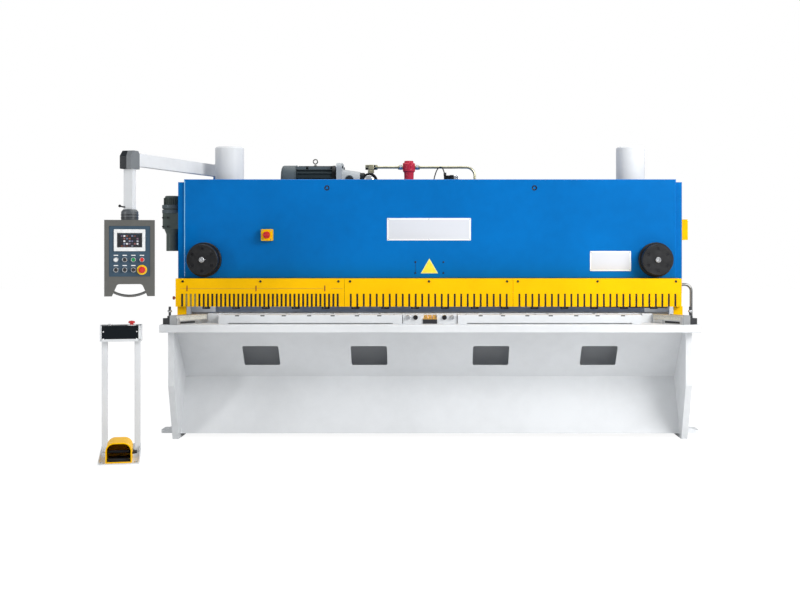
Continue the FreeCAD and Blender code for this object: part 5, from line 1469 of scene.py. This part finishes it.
@dataclass
class ControlBox:
    """The front of the hanging box: foil, screen, coloured caps, selectors and screws.

    Everything is drawn square to the axes and then turned about the swivel.
    """

    finishes: Finishes
    body: str = "control_box"
    hang: tuple[float, float] = HANG
    turn: float = BOX_TURN
    half_depth: float = 0.075
    inset: float = 0.003
    top_z: float = 1.424
    foil_size: tuple[float, float] = (0.243, 0.307)
    foil_z: float = 1.233
    bezel_proud: float = 0.009
    bezel_z: tuple[float, float] = (1.234, 1.367)
    button_x: tuple[float, ...] = (-0.081, -0.029, 0.022, 0.073)
    button_proud: float = 0.013
    row_1: float = 0.242
    row_2: float = 0.304
    strip_rise: float = 0.0265
    leans: tuple[float, ...] = (-30, 0, 30)
    screw_dx: float = 0.136
    screw_z: tuple[float, float] = (1.052, 1.404)

    @property
    def front_y(self) -> float:
        """The depth of the box's front, before it is turned."""
        return self.hang[1] - self.half_depth

    @property
    def foil_y(self) -> float:
        """The depth of the inset face, before it is turned."""
        return self.front_y + self.inset

    def hung(self, surface: Surface, name: str, material: bpy.types.Material, slot: str) -> None:
        """Turns a surface with the box and hangs it on the box's body."""
        surface.swung(self.hang, self.turn).piece(name, material, slot, self.body)

    def foil(self) -> None:
        """The blue-grey foil on the inset front, and a bare white strip over each button."""
        x = self.hang[0]
        foil = slab(*self.foil_size, 0.0006, 0.004, 0.0002, at=(x, self.foil_y, self.foil_z))
        self.hung(Surface().grid(foil), "front_foil", self.finishes.inset, "grey_paint")
        places = [(x + dx, self.foil_y - 0.0005, self.top_z - row + self.strip_rise)
                  for row, count in ((self.row_1, 4), (self.row_2, 3)) for dx in self.button_x[:count]]
        self.hung(Surface().copies(slab(0.026, 0.0055, 0.0006, 0.001, 0.0002), np.array(places)),
                  "label_strips", self.finishes.plate_white, "white_plastic")

    def screen(self) -> None:
        """The glass, and the black edge around it."""
        x, y, z = self.hang[0], self.foil_y - self.bezel_proud, sum(self.bezel_z) / 2
        self.hung(Surface().grid(slab(0.148, 0.087, 0.0016, 0.002, 0.0006, at=(x, y + 0.002, z))),
                  "screen_rim", self.finishes.plastic, "dark_plastic")
        self.hung(Surface().grid(slab(0.136, 0.076, 0.0012, 0.001, 0.0004, at=(x, y + 0.0006, z))),
                  "screen_glass", self.finishes.glass, "dark_plastic")

    def rings(self, count: int, z: float, name: str) -> None:
        """A zinc ring around each of the first buttons of a row."""
        profile = [(0.0105, 0.0), (0.0150, 0.0), (0.0150, 0.0055), (0.0125, 0.0075), (0.0105, 0.0075)]
        made = Surface()
        for dx in self.button_x[:count]:
            made.grid(turned(profile, Axis.FRONT, 32, (self.hang[0] + dx, self.foil_y, z)), caps=False)
        self.hung(made, name, self.finishes.bright_zinc, "zinc_steel")

    def caps(self) -> None:
        """Row 1: a zinc ring and a coloured cap on each of the four buttons."""
        z = self.top_z - self.row_1
        self.rings(4, z, "button_rings")
        looks = (("white_cap", self.finishes.white_plastic, "white_plastic"),
                 ("black_cap", self.finishes.plastic, "dark_plastic"),
                 ("green_cap", self.finishes.green_plastic, "dark_plastic"),
                 ("red_cap", self.finishes.red_plastic, "red_plastic"))
        profile = [(0.0112, -0.004), (0.0112, 0.0015), (0.0095, 0.0030), (0.0, 0.0034)]
        for dx, (name, finish, slot) in zip(self.button_x, looks):
            at = (self.hang[0] + dx, self.foil_y - self.button_proud, z)
            self.hung(Surface().grid(turned(profile, Axis.FRONT, 32, at)), name, finish, slot)

    def selectors(self) -> None:
        """Row 2: a zinc ring, a round base and a raised grip on each selector."""
        z = self.top_z - self.row_2
        self.rings(3, z, "selector_rings")
        base = [(0.0112, -0.004), (0.0112, 0.001), (0.010, 0.002), (0.0, 0.002)]
        grips = Surface()
        for dx, lean in zip(self.button_x, self.leans):
            at = np.array([self.hang[0] + dx, self.foil_y - self.button_proud, z])
            grips.grid(turned(base, Axis.FRONT, 32, at))
            a = math.radians(lean)
            spin = np.array([[math.cos(a), 0, math.sin(a)], [0, 1, 0], [-math.sin(a), 0, math.cos(a)]])
            grips.grid(slab(0.007, 0.022, 0.012, 0.003, 0.002) @ spin + at)
        self.hung(grips, "selector_grips", self.finishes.plastic, "dark_plastic")

    def stop(self) -> None:
        """The round yellow base of the stop button."""
        profile = [(0.012, 0.0), (0.0305, 0.0), (0.0305, 0.003), (0.0285, 0.0045), (0.012, 0.0045)]
        at = (self.hang[0] + self.button_x[3], self.foil_y, self.top_z - self.row_2)
        self.hung(Surface().grid(turned(profile, Axis.FRONT, 40, at), caps=False), "stop_base",
                  self.finishes.yellow_plastic, "yellow_paint")

    def screws(self) -> None:
        """Round-headed screws near the corners of the rear cover."""
        x, rear = self.hang[0], self.hang[1] + self.half_depth
        places = rectangle((x - self.screw_dx, x + self.screw_dx), rear, self.screw_z)
        self.hung(Surface().copies(Screw.DOME.head(0.0055, Axis.REAR), places), "box_screws",
                  self.finishes.oxide_and_painted_shade, "dark_plastic")

    def build(self) -> None:
        """Makes the front of the box."""
        self.foil()
        self.screen()
        self.caps()
        self.selectors()
        self.stop()
        self.screws()


@dataclass
class PedalStand:
    """The small parts of the free-standing pedal stand, drawn square and then turned with it."""

    finishes: Finishes
    about: tuple[float, float] = (-1.800, -1.785)
    turn: float = 12.0
    desk_y: float = -1.402
    desk_z: tuple[float, float] = (0.684, 0.778)
    cap_y: float = 0.0715
    stop_dx: float = 0.062
    lamp_dx: float = -0.068
    left_edge: tuple[float, float] = (-0.1170, 0.006)
    right_edge: tuple[float, float] = (0.1120, 0.016)
    edge_thick: float = 0.0022
    shroud_half: float = 0.075
    shroud_y: tuple[float, float] = (-1.770, -1.535)
    tray_rear: float = -1.285
    bolt_dx: float = 0.096

    def stood(self, surface: Surface, name: str, material: bpy.types.Material, slot: str) -> None:
        """Turns a surface with the stand and leaves it on the machine's body."""
        surface.swung(self.about, self.turn).piece(name, material, slot)

    def desk(self) -> None:
        """The stop button's base, and the pale lamp in its ring."""
        x, y, top = self.about[0], self.desk_y + self.cap_y, self.desk_z[1]
        base = [(0.012, 0.0), (0.0255, 0.0), (0.0255, 0.003), (0.0235, 0.0045), (0.012, 0.0045)]
        self.stood(Surface().grid(turned(base, Axis.UP, 40, (x + self.stop_dx, y, top)), caps=False),
                   "desk_stop_base", self.finishes.white_plastic, "white_plastic")
        at = (x + self.lamp_dx, y, top)
        ring = [(0.0150, 0.0), (0.0150, 0.005), (0.0125, 0.007), (0.0112, 0.007), (0.0112, 0.0)]
        self.stood(Surface().grid(turned(ring, Axis.UP, 32, at), caps=False), "lamp_ring",
                   self.finishes.bright_zinc, "zinc_steel")
        lamp = [(0.0110, 0.0), (0.0110, 0.009), (0.0085, 0.0115), (0.0, 0.0125)]
        self.stood(Surface().grid(turned(lamp, Axis.UP, 32, at)), "desk_lamp",
                   self.finishes.white_plastic, "white_plastic")

    def desk_front(self) -> None:
        """The white edging of the dark front, also up its slope of 45 degrees, and four screws."""
        x, top, thick = self.about[0], self.desk_z[1], self.edge_thick
        face, low = self.desk_y + 0.0032, self.desk_z[0] + 0.005
        edging = Surface()
        for dx, dz, width, height in ((self.left_edge[0], 0.0325, self.left_edge[1], 0.065),
                                      (self.right_edge[0], 0.0325, self.right_edge[1], 0.065),
                                      (0.0, 0.0050, 0.240, 0.010)):
            edging.grid(slab(width, height, thick, 0.001, 0.0005, at=(x + dx, face, low + dz)))
        tilt = np.array([[1, 0, 0], [0, 1, -1], [0, 1, 1]]) / (1, math.sqrt(2), math.sqrt(2))
        for dx, width in (self.left_edge, self.right_edge):
            sloped = slab(width, 0.0335, thick, 0.001, 0.0005) @ tilt
            edging.grid(sloped + np.array([x + dx, face + 0.012, top - 0.0120]))
        self.stood(edging, "desk_edging", self.finishes.white, "white_paint")
        places = rectangle((x - 0.104, x + 0.094), self.desk_y + 0.003,
                           (self.desk_z[0] + 0.016, self.desk_z[1] - 0.034))
        self.stood(Surface().copies(Screw.DOME.head(0.0042, Axis.FRONT), places), "desk_screws",
                   self.finishes.white_plastic, "white_plastic")

    def pedal(self) -> None:
        """The shroud's side screws, the mat and low black step in its mouth, and the gland on its right."""
        x, half = self.about[0], self.shroud_half
        front, rear = self.shroud_y
        made = Surface()
        for side, axis in ((1, Axis.RIGHT), (-1, Axis.LEFT)):
            places = np.array([(x + side * half, y, 0.058) for y in (front + 0.05, rear - 0.05)])
            made.copies(Screw.DOME.head(0.006, axis), places)
        self.stood(made, "shroud_screws", self.finishes.oxide_and_painted_shade, "dark_plastic")
        mat = slab(2 * half - 0.020, 0.190, 0.003, 0.004, 0.001, Axis.UP, (x, front + 0.100, 0.013))
        step = slab(2 * half - 0.024, 0.012, 0.110, 0.003, 0.002, Axis.FRONT, (x, front + 0.140, 0.0205))
        self.stood(Surface().grid(mat).grid(step), "pedal_mat", self.finishes.rubber_and_painted_shade, "dark_plastic")
        gland = [(0.0, -0.002), (0.013, -0.002), (0.013, 0.010), (0.0105, 0.012), (0.0105, 0.022),
                 (0.0080, 0.026), (0.0, 0.026)]
        self.stood(Surface().grid(turned(gland, Axis.RIGHT, 24, (x + half, rear - 0.040, 0.040))),
                   "cable_gland", self.finishes.plastic, "dark_plastic")

    def build(self) -> None:
        """Makes the desk's and the pedal's small parts, and the bolts of the tray."""
        self.desk()
        self.desk_front()
        self.pedal()
        x, front = self.about
        places = np.array([(x + side * self.bolt_dx, y, 0.006) for side in (-1, 1)
                           for y in (front + 0.030, self.tray_rear - 0.075)])
        self.stood(Surface().copies(Screw.HEX.head(0.009, Axis.UP), places), "stand_bolts",
                   self.finishes.bright_zinc, "zinc_steel")


# ------------------------------------------------------ frame, light, camera


def dress_frame(finishes: Finishes, nodes: dict[str, bpy.types.Object]) -> None:
    """Gives every CAD node its procedural finish.

    Args:
        finishes: the shared materials.
        nodes: the frame's objects by node name.
    """
    groups = {
        finishes.blue: ("front_panel", "blade_beam", "oil_tank", "tank_lid", "tank_cross_tubes",
                        "swing_bracket"),
        finishes.frame: ("side_frame_left", "side_frame_right"),
        finishes.white: ("table_plate", "bench_plates", "front_apron", "table_beam_web", "blade_seat",
                         "main_cylinder_left", "main_cylinder_right", "swing_arm", "pedal_stand",
                         "back_gauge_frame", "back_gauge_bar"),
        finishes.yellow: ("guard_left", "guard_middle", "guard_right", "guard_shelf", "guard_cheeks",
                          "isolator_box", "terminal_box", "pedal_shroud"),
        finishes.steel: ("lower_blade", "beam_guides"),
        # The upper blade and plungers take the steel darkened as painted shade.
        finishes.shade_darkened_steel: ("upper_blade", "hold_down_plungers"),
        finishes.bar_steel: ("squaring_arms",),
        finishes.rod: ("piston_rods",),
        finishes.zinc: ("pressure_pipes",),
        finishes.tube_steel: ("bent_tube", "box_handle"),
        finishes.junction: ("junction_block",),
        finishes.disc: ("guide_covers",),
        finishes.slate: ("pump_motor",),
        finishes.pump: ("pump",),
        finishes.drive: ("gap_drive",),
        finishes.red_paint: ("oil_filter",),
        finishes.red_plastic: ("isolator_knob", "box_stop", "desk_stop"),
        finishes.grey: ("control_box", "box_back"),
        finishes.white_plastic: ("screen_bezel",),
        finishes.elbow: ("arm_elbow",),
        finishes.hub: ("swivel_hub",),
        finishes.oxide_and_painted_shade: ("hold_down_cylinders",),
        finishes.plastic: ("box_buttons", "arm_clamps"),
        finishes.desk: ("desk_panel",),
        finishes.black: ("treadle", "hold_down_beam", "valve_block"),
    }
    for material, names in groups.items():
        for name in names:
            mesh = nodes[name].data
            mesh.materials.clear()
            mesh.materials.append(material)
    bare = sorted(set(nodes) - {name for names in groups.values() for name in names})
    if bare:
        raise ValueError(f"these nodes have no finish: {bare}")
    log.info("%d nodes dressed", len(nodes))


@dataclass
class Studio:
    """A pale floor, soft lamps and the camera at the photograph's angle.

    A lamp's values are its name, place, width and height, and power.
    """

    camera_y: float = -8.95
    camera_z: float = 1.241
    lens: float = 55.8
    shift: tuple[float, float] = (-0.0375, -0.0625)
    aim: Point = (0.0, -0.4, 1.0)
    floor_half: float = 30.0
    floor_grey: float = 0.78
    floor_glow: float = 1.15
    glow_share: float = 0.82
    sky: tuple[float, float, float, float] = (0.96, 0.98, 1.0, 1.0)
    sky_strength: float = 0.50
    lamps: tuple[tuple[str, Point, tuple[float, float], float], ...] = (
        ("front_lamp", (4.4, -4.4, 3.6), (3.2, 3.2), 320.0),
        ("left_lamp", (-5.6, -4.6, 1.7), (0.7, 3.2), 80.0),
        ("top_lamp", (0.0, 0.6, 5.8), (4.6, 4.6), 150.0))

    def floor(self) -> None:
        """A wide pale floor that mostly glows white to the camera, and keeps the shear's shadow.

        Reflections in metal and glass see the plain pale floor, without the glow.
        """
        shader = Shader("studio_floor")
        ray = shader.node("ShaderNodeLightPath", {}, {})
        shade = shader.node("ShaderNodeBsdfDiffuse", {}, {"Color": (self.floor_grey,) * 3}).outputs[0]
        glow = shader.node("ShaderNodeEmission", {},
                           {"Color": (1, 1, 1), "Strength": self.floor_glow}).outputs[0]
        seen = Socket(shader, ray.outputs["Is Camera Ray"]) * self.glow_share
        mixed = shader.node("ShaderNodeMixShader", {}, {0: seen, 1: shade, 2: glow}).outputs[0]
        shader.node("ShaderNodeOutputMaterial", {}, {0: mixed})
        mesh = bpy.data.meshes.new("floor")
        h = self.floor_half
        mesh.from_pydata([(-h, -h, 0), (h, -h, 0), (h, h, 0), (-h, h, 0)], [], [(0, 1, 2, 3)])
        mesh.materials.append(shader.material)
        made = bpy.data.objects.new("floor", mesh)
        bpy.context.scene.collection.objects.link(made)

    def world(self) -> None:
        """Even light on the shear, also in its reflections, and plain white to the camera."""
        world = bpy.data.worlds.new("studio")
        bpy.context.scene.world = world
        world.use_nodes = True
        tree = world.node_tree
        tree.nodes.clear()
        ray = tree.nodes.new("ShaderNodeLightPath")
        mix = tree.nodes.new("ShaderNodeMixShader")
        light, seen = tree.nodes.new("ShaderNodeBackground"), tree.nodes.new("ShaderNodeBackground")
        light.inputs["Color"].default_value = self.sky
        light.inputs["Strength"].default_value = self.sky_strength
        seen.inputs["Color"].default_value = (1.0, 1.0, 1.0, 1.0)
        seen.inputs["Strength"].default_value = 1.0
        out = tree.nodes.new("ShaderNodeOutputWorld")
        tree.links.new(ray.outputs["Is Camera Ray"], mix.inputs[0])
        tree.links.new(light.outputs[0], mix.inputs[1])
        tree.links.new(seen.outputs[0], mix.inputs[2])
        tree.links.new(mix.outputs[0], out.inputs[0])

    def light(self) -> None:
        """Large soft lamps that face the middle of the shear."""
        for name, place, size, power in self.lamps:
            data = bpy.data.lights.new(name, "AREA")
            data.shape, data.energy = "RECTANGLE", power
            data.size, data.size_y = size
            lamp = bpy.data.objects.new(name, data)
            bpy.context.scene.collection.objects.link(lamp)
            x, y, z = np.array(self.aim) - np.array(place)
            lamp.location = place
            lamp.rotation_euler = (math.atan2(math.hypot(x, y), -z), 0, math.atan2(y, x) - QUARTER)

    def camera(self) -> None:
        """The camera looks straight along +Y, with the frame shifted as in the photograph."""
        data = bpy.data.cameras.new("camera")
        data.lens, data.sensor_width = self.lens, 36.0
        data.shift_x, data.shift_y = self.shift
        made = bpy.data.objects.new("camera", data)
        bpy.context.scene.collection.objects.link(made)
        made.location = (0.0, self.camera_y, self.camera_z)
        made.rotation_euler = (QUARTER, 0, 0)
        bpy.context.scene.camera = made

    def build(self) -> None:
        """Makes the stage and picks the plain view transform."""
        self.floor()
        self.world()
        self.light()
        self.camera()
        bpy.context.scene.view_settings.view_transform = "Standard"


def main() -> None:
    """Loads the frame, dresses it, adds the pieces and sets the stage."""
    logging.basicConfig(level=logging.INFO, format="%(name)s: %(message)s")
    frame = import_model()
    finishes = Finishes()
    dress_frame(finishes, frame["nodes"])
    for assembly in (FrontCover(finishes), GuideCovers(finishes), Guard(finishes), Table(finishes),
                     PowerUnit(finishes), Cylinders(finishes), SideBoxes(finishes), ArmTrim(finishes),
                     ControlBox(finishes), PedalStand(finishes)):
        assembly.build()
    Studio().build()


if __name__ == "__main__":
    main()
